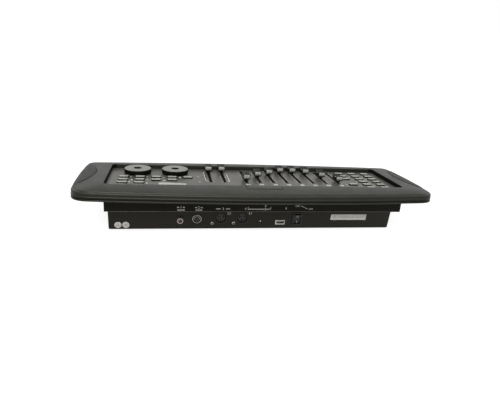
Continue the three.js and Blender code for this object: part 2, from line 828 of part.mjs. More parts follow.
function usbSocket() {
  const face = baseRear + connectorReach;
  const shell = block(about(usbX, usbWidth), [rearInside - jackDepth, face], about(usbZ, usbHeight));
  const cavity = block(
    about(usbX, usbWidth - 2 * usbWall),
    [rearInside - jackBlock, face + overrun],
    about(usbZ, usbHeight - 2 * usbWall),
  );
  const flareStart = baseRear + restGap;
  const flare = block(
    about(usbX, usbWidth + 2 * usbFlare),
    [flareStart, face],
    about(usbZ, usbHeight + 2 * usbFlare),
  );
  const tongueTop = usbZ + usbHeight / 2 - usbWall - restGap;
  const tongue = block(
    about(usbX, usbWidth - 4 * usbWall),
    [rearInside - jackDepth, rearInside],
    [tongueTop - usbTongue, tongueTop],
  );
  const foot = jackFoot(usbX, usbZ, usbWidth, jackDepth - sheet);
  return joined([shell, flare, foot]).subtract(cavity).add(tongue);
}

// The board under the rear connectors, on posts over the base's floor
function jackBoard() {
  const rear = rearInside - restGap;
  const front = rear - jackBoardDepth;
  const left = usbX - usbWidth / 2 - jackBoardMargin;
  const right = rcaX + rcaRadius + jackBoardMargin;
  const board = block([left, right], [front, rear], [jackBoardLift, jackBoardTop]);
  const xs = [left + jackBoardPostInset, right - jackBoardPostInset];
  const ys = [front + jackBoardPostInset, rear - jackBoardPostInset];
  const posts = xs.flatMap((x) => ys.map((y) => post(x, y, [sheet + restGap, jackBoardTop],
    boardPostRadius, smallSides)));
  return board.add(joined(posts));
}

// The rocker turns about a line across the desk, just inside the rear wall
const rockerPivotY = baseRear - rockerPivotDepth;
const rockerWidth = rockerFrameWidth - 2 * rockerFrameWall - 2 * restGap;
const rockerHeight = rockerFrameHeight - 2 * rockerFrameWall - 2 * restGap;

// The switch housing: a frame on the outside of the wall and a body behind it, with a
// well that the rocker swings in
function switchHousing() {
  const collarStart = baseRear + restGap;
  const frame = block(
    about(rockerX, rockerFrameWidth),
    [collarStart, collarStart + rockerFrameReach],
    about(rockerZ, rockerFrameHeight),
  );
  const body = block(
    about(rockerX, rockerFrameWidth - rockerFrameWall),
    [rearInside - rockerBodyDepth, collarStart + restGap],
    about(rockerZ, rockerFrameHeight - rockerFrameWall),
  );
  const well = block(
    about(rockerX, rockerWidth + 2 * restGap),
    [rockerPivotY - rockerDepth - rockerReach, collarStart + rockerFrameReach + overrun],
    about(rockerZ, rockerHeight + 2 * restGap),
  );
  return frame.add(body).subtract(well);
}

// The rocker at mid swing: a face like a shallow V over a deeper keel on its pivot line
function switchRocker() {
  const half = rockerHeight / 2 - slideGap;
  const rise = half * Math.tan(rockerTurn / 2);
  const keel = new THREE.Shape();
  keel.moveTo(-half, rockerReach + rise);
  keel.lineTo(rockerTaper - half, -rockerPivotDepth / 2);
  keel.lineTo(-rockerDepth / 2, -rockerDepth);
  keel.lineTo(rockerDepth / 2, -rockerDepth);
  keel.lineTo(half - rockerTaper, -rockerPivotDepth / 2);
  keel.lineTo(half, rockerReach + rise);
  keel.lineTo(0, rockerReach);
  const geometry = new THREE.ExtrudeGeometry(keel, { depth: rockerWidth, bevelEnabled: false });
  geometry.translate(0, 0, -rockerWidth / 2);
  geometry.rotateY(-Math.PI / 2);
  return solid(geometry);
}

// A tapered rubber foot, its middle at the zero of its own x and y
function rubberFoot() {
  const foot = new THREE.CylinderGeometry(footRadius, footRadius - footDraft, footHeight, roundSides);
  foot.rotateX(Math.PI / 2);
  foot.translate(0, 0, footHeight / 2);
  return solid(foot);
}

// Finishes
const finish = (color, roughness, metalness) => ({ color, roughness, metalness });
const finishes = {
  mouldedShell: finish(0x3a3a38, 0.62, 0),
  panelPaint: finish(0x403f3c, 0.5, 0.2),
  basePaint: finish(0x33312f, 0.5, 0.2),
  circuitBoard: finish(0x1d4a34, 0.6, 0),
  capPlastic: finish(0x26262a, 0.45, 0),
  wheelPlastic: finish(0x8f8f8a, 0.4, 0),
  buttonRubber: finish(0x86857f, 0.6, 0),
  displayGlass: finish(0xd4d8d2, 0.15, 0),
  socketPlastic: finish(0x1b1b1c, 0.5, 0),
  socketMetal: finish(0xb9b9b6, 0.3, 1),
  footRubber: finish(0x181818, 0.85, 0),
};

function piece(name, body, look) {
  const mesh = new THREE.Mesh(geometryOf(body), new THREE.MeshStandardMaterial(look));
  mesh.name = name;
  return mesh;
}

// Assembly: one tilted group for all that follows the panel, one upright group for the base
const desk = new THREE.Group();
const tilted = new THREE.Group();
const upright = new THREE.Group();
tilted.rotation.x = panelTilt;
tilted.position.z = footHeight + panelHeight;
upright.position.z = footHeight;

tilted.add(piece('top_shell', topShell(), finishes.mouldedShell));
tilted.add(piece('control_panel', controlPanel(), finishes.panelPaint));
tilted.add(piece('main_board', mainBoard(), finishes.circuitBoard));
tilted.add(piece('display_module', displayModule(), finishes.displayGlass));

for (const { name, x, rest } of faders) {
  const cap = piece(name, faderCap(), finishes.capPlastic);
  cap.position.set(x, rest, 0);
  tilted.add(cap);
}
for (const { name, x } of wheels) {
  const wheel = piece(name, jogWheel(), finishes.wheelPlastic);
  wheel.position.set(x, wheelU, 0);
  tilted.add(wheel);
}
for (const { name, x, u } of buttons) {
  const button = piece(name, pushButton(), finishes.buttonRubber);
  button.position.set(x, u, 0);
  tilted.add(button);
}

upright.add(piece('base_pan', basePan(), finishes.basePaint));
upright.add(piece('jack_board', jackBoard(), finishes.circuitBoard));
upright.add(piece('rca_jack', rcaJack(), finishes.socketMetal));
upright.add(piece('midi_socket', midiSocket(), finishes.socketMetal));
xlrX.forEach((x, i) => upright.add(piece(`xlr_socket_${i + 1}`, xlrSocket(x), finishes.socketPlastic)));
upright.add(piece('dc_jack', dcJack(), finishes.socketPlastic));
upright.add(piece('usb_socket', usbSocket(), finishes.socketMetal));
upright.add(piece('switch_housing', switchHousing(), finishes.socketPlastic));

// The rocker rests with its lower half pressed in
const rocker = piece('power_rocker', switchRocker(), finishes.socketPlastic);
rocker.position.set(rockerX, rockerPivotY, rockerZ);
rocker.rotation.x = -rockerTurn / 2;
upright.add(rocker);

const footX = baseHalfWidth - footInset;
const footYs = [footInset - baseFront, baseRear - footInset];
footYs.forEach((y, row) => [-footX, footX].forEach((x, side) => {
  const foot = piece(`rubber_foot_${2 * row + side + 1}`, rubberFoot(), finishes.footRubber);
  foot.position.set(x, y, -footHeight);
  upright.add(foot);
}));

desk.add(tilted, upright);

// The origin goes under the middle of the whole desk
desk.updateMatrixWorld(true);
const middle = new THREE.Box3().setFromObject(desk, true).getCenter(new THREE.Vector3());
tilted.position.y = -middle.y;
upright.position.y = -middle.y;

export default desk;
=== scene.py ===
# %% [markdown]
# # A stage lighting desk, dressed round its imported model
#
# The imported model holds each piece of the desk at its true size, in flat facets and plain
# colours. That frame stays where it is. Around it this script builds the finer pieces a
# camera wants: the smooth moulded shell, the caps, wheels and buttons, the sockets in the
# rear wall, the printed marks, and a material for every surface.

import json
import math

import bmesh
import bpy
import numpy as np
from mathutils import Matrix, Vector


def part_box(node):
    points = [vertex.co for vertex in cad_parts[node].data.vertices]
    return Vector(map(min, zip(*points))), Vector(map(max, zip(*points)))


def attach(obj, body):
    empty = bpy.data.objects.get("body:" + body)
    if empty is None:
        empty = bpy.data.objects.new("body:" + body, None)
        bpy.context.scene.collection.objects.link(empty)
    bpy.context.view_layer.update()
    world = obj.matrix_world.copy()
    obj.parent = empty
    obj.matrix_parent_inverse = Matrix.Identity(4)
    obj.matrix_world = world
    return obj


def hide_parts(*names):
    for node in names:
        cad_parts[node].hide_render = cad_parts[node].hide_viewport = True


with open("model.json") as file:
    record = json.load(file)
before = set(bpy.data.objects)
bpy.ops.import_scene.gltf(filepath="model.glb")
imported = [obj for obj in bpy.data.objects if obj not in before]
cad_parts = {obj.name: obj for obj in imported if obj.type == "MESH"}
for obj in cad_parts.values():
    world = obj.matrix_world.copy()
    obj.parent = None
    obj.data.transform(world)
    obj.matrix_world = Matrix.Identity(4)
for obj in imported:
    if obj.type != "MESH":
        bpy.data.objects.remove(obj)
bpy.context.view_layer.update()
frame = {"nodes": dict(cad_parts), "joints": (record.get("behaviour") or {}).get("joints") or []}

# %% [markdown]
# ## Two frames of reference
#
# A sloping desk is easiest to build in two frames. In the panel frame x runs across, u
# along the sloping panel to the rear and w square out of it. In the base frame x, y and z
# stand upright on the underside of the steel base. Each is a function from millimetres
# to the desk's own frame in metres, so a shape is worked out flat and then put in place
# with one call. Where the desk's middle lies is read back from a wheel's axis, which is
# safer than copying a number by hand.

# %% Panel frame and base frame
MM = 0.001
TILT = math.radians(6.1)
COS, SIN = math.cos(TILT), math.sin(TILT)
PANEL_ABOVE_TABLE = 66.0
FOOT_HEIGHT = 4.0
WHEEL_U = -4.0
WHEEL_XS = {"pan_jog_wheel": 120.6, "tilt_jog_wheel": 176.0}

joints = {joint["name"]: joint for joint in frame["joints"]}
MIDDLE_Y = joints["pan_jog_wheel_turn"]["pos_m"][1] / MM - WHEEL_U * COS


def panel_point(x, u, w):
    """Panel frame to desk frame: (u, w) is turned by the tilt about X, then lifted."""
    x, u, w = np.broadcast_arrays(x, u, w)
    y = u * COS - w * SIN + MIDDLE_Y
    z = u * SIN + w * COS + PANEL_ABOVE_TABLE
    return np.stack([x, y, z], axis=-1) * MM


def base_point(x, y, z):
    """Base frame to desk frame: a shift in Y and the height of the feet in Z."""
    x, y, z = np.broadcast_arrays(x, y, z)
    return np.stack([x, y + MIDDLE_Y, z + FOOT_HEIGHT], axis=-1) * MM


print("the base frame's middle lies at y =", round(MIDDLE_Y, 3), "mm in the desk's frame")

# %% [markdown]
# ## Places to work in
#
# Each small piece is drawn in a local frame: a to the right, b up the page, and h out
# of the surface that carries it. A place is a function that lays such points on that
# surface. On the two rear faces the reader stands behind the desk, so a runs towards -X.

# %% Places on the desk's surfaces
REAR_WALL = 61.0
CASE_REAR = 79.6
CASE_DEPTH = 32.4


def on_panel(x, u):
    """Local (a, b, h) becomes x + a, u + b and w = h."""
    return lambda p: panel_point(x + p[..., 0], u + p[..., 1], p[..., 2])


def on_case_rear(x, w):
    """Local (a, b, h) becomes x - a, w + b and u = the case's rear + h."""
    return lambda p: panel_point(x - p[..., 0], CASE_REAR + p[..., 2], w + p[..., 1])


def on_rear_wall(x, z):
    """Local (a, b, h) becomes x - a, z + b and y = the wall's face + h."""
    return lambda p: base_point(x - p[..., 0], REAR_WALL + p[..., 2], z + p[..., 1])


def on_base(x, y):
    """Local (a, b, h) becomes x + a, y + b and z = h."""
    return lambda p: base_point(x + p[..., 0], y + p[..., 1], p[..., 2])


print("one millimetre of u rises", round(SIN, 4), "mm")

# %% [markdown]
# ## From arrays to meshes
#
# Nearly every piece here is a stack of closed rings of points. The rings are worked out
# as whole arrays; `skin` only numbers the quads between neighbours and closes the ends.
# A mesh that is inside out renders almost the same in Blender, but not in other tools,
# so `make_piece` measures the volume that each part encloses and turns it over if the
# volume comes out negative.

# %% Rings to faces, faces to pieces


def skin(rings, closed=False):
    """Quads join ring j to ring j + 1 and column i to i + 1. A closed stack joins its last
    ring to its first; an open one gets a flat cap at both ends."""
    rows, count = rings.shape[:2]
    index = np.arange(rows * count).reshape(rows, count)
    low, high = (index, np.roll(index, -1, axis=0)) if closed else (index[:-1], index[1:])
    right_low, right_high = np.roll(low, -1, axis=1), np.roll(high, -1, axis=1)
    quads = np.stack([low, right_low, right_high, high], axis=-1).reshape(-1, 4)
    caps = [] if closed else [index[:1, ::-1], index[-1:]]
    return rings.reshape(-1, 3), [quads, *caps]


def enclosed_volume(points, block):
    """A sixth of the sum of p0 . (p1 x p2) over the triangles that fan each face."""
    corners = points[block]
    first, second, third = corners[:, :1], corners[:, 1:-1], corners[:, 2:]
    return (first * np.cross(second, third)).sum() / 6


def part(rings, place, finish=0, closed=False):
    """A stack of local rings laid in its place: (points, blocks of faces, finish number)."""
    points, blocks = skin(place(rings), closed)
    return points, blocks, finish


def add_object(name, data):
    """A new object for a mesh, lamp, camera or text, linked into the scene."""
    carrier = bpy.data.objects.new(name, data)
    bpy.context.scene.collection.objects.link(carrier)
    return carrier


def make_piece(name, parts, finishes, crease=32):
    """Joins closed parts into one mesh object, smooth but for edges over the crease angle."""
    points, faces, numbers, start = [], [], [], 0
    for part_points, blocks, finish in parts:
        inside_out = sum(enclosed_volume(part_points, block) for block in blocks) < 0
        for block in blocks:
            turned_over = block[:, ::-1] if inside_out else block
            faces += (turned_over + start).tolist()
        numbers.append(np.broadcast_to(finish, sum(len(block) for block in blocks)))
        points.append(part_points)
        start += len(part_points)
    mesh = bpy.data.meshes.new(name)
    mesh.from_pydata(np.concatenate(points).tolist(), [], faces)
    for finish in finishes:
        mesh.materials.append(finish)
    mesh.polygons.foreach_set("material_index", np.concatenate(numbers).astype(np.int32))
    mesh.polygons.foreach_set("use_smooth", np.ones(len(faces), bool))
    mesh.set_sharp_from_angle(angle=math.radians(crease))
    mesh.update()
    return add_object(name, mesh)


def fit(piece, body, *replaced):
    """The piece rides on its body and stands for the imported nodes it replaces."""
    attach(piece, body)
    if replaced:
        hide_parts(*replaced)
    return piece


print("a box of four-sided rings has", sum(len(block) for block in skin(np.zeros((2, 4, 3)))[1]), "faces")

# %% [markdown]
# ## Three ways to make rings
#
# A knob or a socket is *turned*: a profile swings round an axis. A button or a plate is
# *stacked*: rounded rectangles on top of one another. A fader cap is *swept*: its side
# view is carried across, and its ends are rounded by shrinking the outline along a
# quarter circle.

# %% Turned, stacked and swept rings


def turned(profile, sides=48):
    """Each (radius, height) swings once round h: a = r cos t and b = r sin t."""
    profile = np.array(profile, float)
    t = np.linspace(0, 2 * np.pi, sides, endpoint=False)
    a, b = profile[:, :1] * np.cos(t), profile[:, :1] * np.sin(t)
    return np.stack([a, b, np.broadcast_to(profile[:, 1:], a.shape)], axis=-1)


def stacked(levels, steps=5):
    """Each level is (half width, half length, corner radius, height). A corner is a quarter
    circle about a centre that lies one radius in from both sides."""
    half_a, half_b, radius, height = (np.array(levels, float)[:, [i]] for i in range(4))
    t = (np.linspace(0, np.pi / 2, steps + 1) + np.arange(4)[:, None] * np.pi / 2).ravel()
    side_a, side_b = np.repeat([1, -1, -1, 1], steps + 1), np.repeat([1, 1, -1, -1], steps + 1)
    a = side_a * (half_a - radius) + radius * np.cos(t)
    b = side_b * (half_b - radius) + radius * np.sin(t)
    return np.stack([a, b, np.broadcast_to(height, a.shape)], axis=-1)


def swept(outline, half_width, edge, steps=4):
    """A closed outline in (b, h), carried across a. At both ends a = half - edge + edge sin t
    while the outline moves in along its normals by edge (1 - cos t)."""
    along = np.roll(outline, -1, axis=0) - np.roll(outline, 1, axis=0)
    normal = np.stack([along[:, 1], -along[:, 0]], axis=1)
    normal /= np.linalg.norm(normal, axis=1, keepdims=True)
    t = np.linspace(np.pi / 2, 0, steps + 1)
    across = half_width - edge + edge * np.sin(t)
    inset = edge * (1 - np.cos(t))
    across = np.concatenate([-across, across[::-1]])
    inset = np.concatenate([inset, inset[::-1]])
    side = outline[None] - inset[:, None, None] * normal[None]
    a = np.broadcast_to(across[:, None], side.shape[:2])
    return np.stack([a, side[..., 0], side[..., 1]], axis=-1)


def rounded_levels(half_a, half_b, corner, low, high, edge, steps=4):
    """Levels of a block whose top edge is a quarter circle of the given radius."""
    t = np.linspace(0, np.pi / 2, steps + 1)
    inset, height = edge * (1 - np.cos(t)), high - edge + edge * np.sin(t)
    rounding = [(half_a - i, half_b - i, max(corner - i, 0.05), h) for i, h in zip(inset, height)]
    return [(half_a, half_b, corner, low), *rounding]


print("a turned ring has", turned([(1, 0)]).shape[1], "points")

# %% [markdown]
# ## Camera
#
# The photograph looks at the desk from behind and a little above, from about 0.7 m. Its
# camera was found by matching known corners of the desk to their pixels. A pixel focal
# length turns into a lens by the ratio of the sensor to the image's width, and the point
# that the lens is centred on, slightly off the image's middle, into a small shift.

# %% Camera at the photograph's viewpoint
IMAGE_WIDTH, IMAGE_HEIGHT = 500, 400
SENSOR = 36.0
camera_place = np.array([131.9445, 615.8436 + MIDDLE_Y, 301.5781 + FOOT_HEIGHT]) * MM
yaw, pitch, roll = -0.1995, 0.4338, 0.089
focal_pixels = 425.5258
lens_centre = np.array([245.2149, 204.6506])

forward = np.array([
    math.sin(yaw) * math.cos(pitch),
    -math.cos(yaw) * math.cos(pitch),
    -math.sin(pitch),
])
level_right = np.cross(forward, [0, 0, 1])
level_right /= np.linalg.norm(level_right)
level_up = np.cross(level_right, forward)
right = math.cos(roll) * level_right + math.sin(roll) * level_up
up = math.cos(roll) * level_up - math.sin(roll) * level_right

lens = bpy.data.cameras.new("viewpoint")
lens.sensor_width = SENSOR
lens.lens = focal_pixels / IMAGE_WIDTH * SENSOR
lens.shift_x = (IMAGE_WIDTH / 2 - lens_centre[0]) / IMAGE_WIDTH
lens.shift_y = (lens_centre[1] - IMAGE_HEIGHT / 2) / IMAGE_WIDTH
lens.clip_start = 0.01
camera = add_object("viewpoint", lens)
turn = np.eye(4)
turn[:3, 0], turn[:3, 1], turn[:3, 2], turn[:3, 3] = right, up, -forward, camera_place
camera.matrix_world = Matrix(turn.tolist())
bpy.context.scene.camera = camera
print("lens", round(lens.lens, 2), "mm, shift", round(lens.shift_x, 4), round(lens.shift_y, 4))

# %% [markdown]
# ## Colours and nodes
#
# Colours are written as people pick them, in sRGB hex, and turned to the linear values
# that the renderer adds and multiplies. One small function adds any node with its
# settings and its links. A pattern's scale is the number of its cells in a metre, so a
# grain size in millimetres is turned into a scale by one more function.

# %% Colour, node and scale helpers


def linear(hex_colour):
    """sRGB to linear: v / 12.92 below 0.04045, else ((v + 0.055) / 1.055) ^ 2.4."""
    v = np.array([int(hex_colour[i:i + 2], 16) for i in (1, 3, 5)]) / 255
    rgb = np.where(v <= 0.04045, v / 12.92, ((v + 0.055) / 1.055) ** 2.4)
    return (*rgb.tolist(), 1.0)


def per_metre(size_in_mm):
    """Cells in a metre: 1000 over the size of one cell in millimetres."""
    return 1000.0 / size_in_mm


def add(tree, kind, inputs=None, **settings):
    """A node with its settings; an input is linked if it is given a socket, else set."""
    node = tree.nodes.new(kind)
    for name, value in settings.items():
        setattr(node, name, value)
    for name, value in (inputs or {}).items():
        if isinstance(value, bpy.types.NodeSocket):
            tree.links.new(value, node.inputs[name])
        else:
            node.inputs[name].default_value = value
    return node


def new_finish(name, colour, roughness, **sockets):
    """A material with a Principled shader, its constant values set on the sockets."""
    material = bpy.data.materials.new(name)
    material.use_nodes = True
    tree = material.node_tree
    shader = next(node for node in tree.nodes if node.type == "BSDF_PRINCIPLED")
    shader.inputs["Base Color"].default_value = linear(colour)
    shader.inputs["Roughness"].default_value = roughness
    for socket, value in sockets.items():
        shader.inputs[socket.replace("_", " ")].default_value = value
    place = tree.nodes.new("ShaderNodeTexCoord").outputs["Object"]
    return material, tree, shader, place


def mottle(tree, shader, place, dark, pale, size_in_mm):
    """Base colour wanders between two colours over patches of the given size."""
    noise = add(tree, "ShaderNodeTexNoise",
                {"Vector": place, "Scale": per_metre(size_in_mm), "Detail": 3.0})
    ramp = add(tree, "ShaderNodeValToRGB", {"Fac": noise.outputs["Fac"]})
    for element, position, colour in zip(ramp.color_ramp.elements, (0.35, 0.65), (dark, pale)):
        element.position, element.color = position, linear(colour)
    tree.links.new(ramp.outputs["Color"], shader.inputs["Base Color"])


def uneven_gloss(tree, shader, place, low, high, size_in_mm):
    """Roughness wanders between two values, as handling and moulding leave it."""
    noise = add(tree, "ShaderNodeTexNoise",
                {"Vector": place, "Scale": per_metre(size_in_mm), "Detail": 4.0})
    spread = add(tree, "ShaderNodeMapRange",
                 {"Value": noise.outputs["Fac"], "From Min": 0.3, "From Max": 0.7,
                  "To Min": low, "To Max": high})
    tree.links.new(spread.outputs["Result"], shader.inputs["Roughness"])


def relief(tree, shader, height, depth_in_mm, strength):
    """A bump whose height is given in millimetres of real relief."""
    bump = add(tree, "ShaderNodeBump",
               {"Height": height, "Distance": depth_in_mm * MM, "Strength": strength})
    tree.links.new(bump.outputs["Normal"], shader.inputs["Normal"])


def fine_grain(tree, shader, place, size_in_mm, depth_in_mm, strength, detail=1.0, harshness=0.5):
    """Noise as relief; harshness is how much of each finer octave is kept."""
    noise = add(tree, "ShaderNodeTexNoise", {
        "Vector": place, "Scale": per_metre(size_in_mm), "Detail": detail, "Roughness": harshness})
    relief(tree, shader, noise.outputs["Fac"], depth_in_mm, strength)


def finish_of(name, colour, roughness, patches=None, gloss=None, grain=None, **sockets):
    """A finish with the patterns it is given: patches are two colours and a size, gloss two
    roughnesses and a size, grain a size, a depth, a strength and the noise's own settings."""
    material, *nodes = new_finish(name, colour, roughness, **sockets)
    for pattern, values in ((mottle, patches), (uneven_gloss, gloss), (fine_grain, grain)):
        if values:
            pattern(*nodes, *values)
    return material


print("white is", linear("#ffffff")[:3])

# %% [markdown]
# ## Moulded plastics
#
# The shell is ABS, moulded in a tool whose walls were spark-eroded, which leaves a fine
# pebbled skin. The real pebbles are about 0.2 mm across; here they are drawn at 0.9 mm,
# because anything finer than a pixel only turns to noise. The grip pads at both ends
# come from a coarser, leather-like patch of the same tool, made with Voronoi cells.

# %% ABS of the shell and its grip pads
# At a low angle the reflection outweighs the colour of a black plastic or paint, so the
# slightly olive cast seen on the desk is given to the reflection as well.
OLIVE_CAST = (1.0, 0.99, 0.86, 1.0)

# Pebbled skin: soft, wide highlights that never sharpen.
shell_abs = finish_of(
    "ABS_moulded_fine_spark_texture", "#161613", 0.4, ("#131310", "#1a1a16", 35),
    (0.36, 0.45, 22), (0.9, 0.08, 0.45, 2.0, 0.6), Specular_IOR_Level=0.32, Specular_Tint=OLIVE_CAST)

# Coarse domes, paler and rougher than the shell; the colour darkens towards the valleys between them as
# painted shade.
grip_abs, tree, shader, place = new_finish(
    "ABS_moulded_coarse_grip_texture", "#1f1f1b", 0.5, Specular_IOR_Level=0.3,
    Specular_Tint=OLIVE_CAST)
cells = add(tree, "ShaderNodeTexVoronoi",
            {"Vector": place, "Scale": per_metre(2.4), "Randomness": 1.0}, feature="F1")
# Pale at each cell's middle, darker towards its edge: painted shade in the valleys between the domes.
ramp = add(tree, "ShaderNodeValToRGB", {"Fac": cells.outputs["Distance"]})
for element, position, colour in zip(ramp.color_ramp.elements, (0.0, 0.75), ("#2d2d2a", "#121210")):
    element.position, element.color = position, linear(colour)
tree.links.new(ramp.outputs["Color"], shader.inputs["Base Color"])
domes = add(tree, "ShaderNodeMath", {0: 1.0, 1: cells.outputs["Distance"]}, operation="SUBTRACT")
relief(tree, shader, domes.outputs["Value"], 0.8, 1.0)
print("shell plastics:", shell_abs.name, "and", grip_abs.name)

# %% ABS and PBT of the caps, sockets and wheels
# Near-black with almost no shine: painted shade for hollows, namely the window's walls, the line round the
# bezel plate and the groove round a three-pin nose.
painted_shade_abs = finish_of(
    "ABS_moulded_black_painted_shade", "#090908", 0.8, ("#070706", "#0c0c0b", 14),
    grain=(0.9, 0.05, 0.4), Specular_IOR_Level=0.1)
# Polished by fingers: small highlights on the ridges of the caps.
cap_abs = finish_of(
    "ABS_moulded_satin_black_cap", "#0f0f0e", 0.34, gloss=(0.28, 0.42, 6),
    grain=(0.6, 0.02, 0.4), Specular_IOR_Level=0.35)
# The insert's pale grey comes from its pigment, an even and satin one.
cap_grey_abs = finish_of(
    "ABS_moulded_grey_cap_insert", "#94948e", 0.42, ("#8d8d87", "#9b9b95", 4), grain=(0.5, 0.02, 0.4))
# PBT stands solder heat and keeps a plain satin black.
socket_abs = finish_of(
    "PBT_moulded_socket_body", "#131312", 0.42, ("#10100f", "#171715", 12),
    grain=(0.5, 0.03, 0.4), Specular_IOR_Level=0.4)
# A metallic-looking grey pigment without flakes: satin, not sparkling.
wheel_abs = finish_of(
    "ABS_moulded_silver_grey_disc", "#84847f", 0.42, ("#7f7f7a", "#8b8b86", 8),
    grain=(0.45, 0.03, 0.5, 2.0))
# Small parts inside a socket, where little but their colour shows.
white_abs = finish_of("PBT_moulded_white_tongue", "#d8d7d0", 0.45, ("#d2d1ca", "#dedcd6", 5))
red_abs = finish_of("ABS_moulded_red_insulator", "#520f12", 0.4, ("#490c0f", "#5c1316", 3))
print("plastics:", sum("moulded" in material.name for material in bpy.data.materials))

# %% [markdown]
# ## Rubbers
#
# The buttons are silicone: matt, a little dusty, with a waxy bloom that shows at grazing
# angles, which is what the sheen is for. The wheels' skirts and the feet are black
# rubber, rougher still.

# %% Silicone and black rubber
# Waxy grey: the sheen lightens the keys' rounded edges.
button_silicone = finish_of(
    "silicone_moulded_grey_key", "#a5a59d", 0.55, ("#9f9f97", "#acaca4", 9),
    grain=(0.7, 0.03, 0.4, 3.0), Sheen_Weight=0.12, Sheen_Roughness=0.5)
# Soft-touch black of the knurl: the ridges show by shape alone. The same near-black is painted shade on
# the keys' sides and in the wheels' dimples.
black_rubber_and_shade = finish_of(
    "TPE_moulded_black_knurl_and_painted_shade", "#080807", 0.65, ("#060605", "#0b0b0a", 5),
    grain=(0.6, 0.04, 0.5, 3.0), Specular_IOR_Level=0.06)
# Near-black fibres of the dust strips, dark enough to be painted shade that keeps a slot black from any
# side.
felt_and_shade = finish_of(
    "polyester_felt_black_strip_painted_shade", "#060606", 0.95, ("#040404", "#090909", 1),
    grain=(0.4, 0.1, 0.6, 3.0), Specular_IOR_Level=0.2)
# Pressed rubber with a little dust in its pores.
foot_rubber = finish_of(
    "EPDM_pressed_black_foot", "#161616", 0.78, ("#121212", "#1e1e1d", 4), grain=(0.5, 0.08, 0.6, 3.0))
print("rubbers and felt:", [finish.name for finish in (button_silicone, black_rubber_and_shade, felt_and_shade, foot_rubber)])

# %% [markdown]
# ## Painted steel
#
# The panel and the base are folded steel sheet with baked powder paint. Powder melts
# into a skin with a faint orange peel about 1.5 mm across: smooth enough to shine softly
# when seen at a low angle, as the panel is here. The panel's paint is a dark satin grey
# and the base's is nearly black.

# %% Powder paint on the panel and on the base
# Satin grey whose slow waves blur what it reflects.
panel_paint = finish_of(
    "steel_powder_coated_satin_grey", "#4b4a44", 0.38, ("#474641", "#504f4a", 60),
    (0.33, 0.43, 30), (1.5, 0.05, 0.35), Specular_Tint=OLIVE_CAST)
# Warm near-black with a faint, broken shine.
base_paint = finish_of(
    "steel_powder_coated_satin_black", "#14120e", 0.45, ("#110f0b", "#171510", 50),
    (0.40, 0.54, 25), (1.2, 0.07, 0.45, 2.0), Specular_IOR_Level=0.24, Specular_Tint=OLIVE_CAST)
# The folded band is matt, and darker than the wall under it: painted shade from the shell's overhang.
shaded_flange_paint = finish_of(
    "steel_powder_coated_black_painted_shade", "#0f0d0a", 0.55, ("#0c0b08", "#13110d", 60),
    (0.5, 0.6, 25), (1.2, 0.07, 0.45, 2.0), Specular_IOR_Level=0.14, Specular_Tint=OLIVE_CAST)
# A paler, greyer line along the band's lower fold: a painted highlight on the edge.
painted_edge_highlight = finish_of("steel_powder_coated_painted_highlight", "#64615a", 0.5, ("#56534d", "#76736b", 12))
print("paints:", sum("powder" in material.name for material in bpy.data.materials))

# %% [markdown]
# ## Metals
#
# Sockets and screws are plated with nickel, warm and slightly cloudy, or with zinc. The
# contacts are gilt phosphor bronze. A metal's colour is its reflection, so it needs the
# pale room around it more than any pattern; a little unevenness in the roughness is
# enough to keep it from looking like a mirror.

# %% Nickel, zinc and gilt contacts
# Warm, cloudy nickel; duller zinc of a neutral grey; and gold so thin that the bronze shows.
nickel = finish_of("brass_nickel_plated", "#c9c6bf", 0.24, gloss=(0.18, 0.34, 2), Metallic=1.0)
zinc = finish_of("steel_zinc_plated_screw", "#8f908f", 0.38, gloss=(0.24, 0.45, 1.5), Metallic=1.0)
contact_gilt = finish_of("bronze_gilt_contact", "#a3926a", 0.35, gloss=(0.22, 0.4, 1), Metallic=1.0)
print("metals:", [finish.name for finish in (nickel, zinc, contact_gilt)])

# %% [markdown]
# ## Ink, labels, window and lamps
#
# White marks are screen-printed ink: a matt film that covers the paint thinly, so its
# white is never pure. The labels are coated paper. The display's window is clear acrylic
# over a pale reflective panel; at this low angle its gloss matters more than what lies
# behind it, so it is one surface with a clear coat. The small lamps are diffused epoxy.

# %% Ink, paper, acrylic and epoxy
# Thin matt films whose colour varies with their thickness.
ink = finish_of("ink_screen_printed_white", "#e2e1dc", 0.55, ("#d8d7d1", "#e8e7e2", 1.2))
# Black ink prints the faders' numbers; it also paints shade on the slots' edges, round the keys and in the
# screws' crosses.
black_ink_and_shade = finish_of(
    "ink_black_print_and_painted_shade", "#0a0a09", 0.8, ("#080807", "#0d0d0c", 1.2), Specular_IOR_Level=0.06)
grey_ink = finish_of("ink_printed_grey", "#6f6c68", 0.6, ("#67645f", "#787571", 0.8))
# China clay makes the sheet smooth and nearly white.
paper = finish_of("paper_coated_label", "#f8f4ec", 0.5, ("#f3efe7", "#fcf9f2", 4))
# The clear coat is the window's own polished face, sharper than what lies under it.
window_acrylic = finish_of(
    "acrylic_window_over_pale_panel", "#9ba098", 0.3, ("#969b93", "#a1a69e", 6),
    Coat_Weight=1.0, Coat_Roughness=0.04)
segment_grey = finish_of(
    "acrylic_window_over_dark_segment", "#5d625b", 0.3, ("#585d56", "#636861", 3),
    Coat_Weight=1.0, Coat_Roughness=0.04)
# Milky resin: a small highlight on an even body.
lamp_clear = finish_of("epoxy_diffused_clear_lamp", "#b9bab2", 0.25, ("#b0b1a9", "#c4c5bd", 1))
lamp_green = finish_of("epoxy_diffused_green_lamp", "#6e8f74", 0.25, ("#66876c", "#799a80", 1))
print("materials so far, with those of the packed model:", len(bpy.data.materials))

# %% [markdown]
# ## Circuit boards, out of sight
#
# The two boards sit inside the case. They are one solid each, so their colours follow
# height instead of a mesh: green solder resist with copper tracks up to the board's face,
# and dark component bodies above it.

# %% Board material by height
BOARD_FACE = -16.4
JACK_BOARD_FACE = 5.85
FACE_MARGIN = 0.05


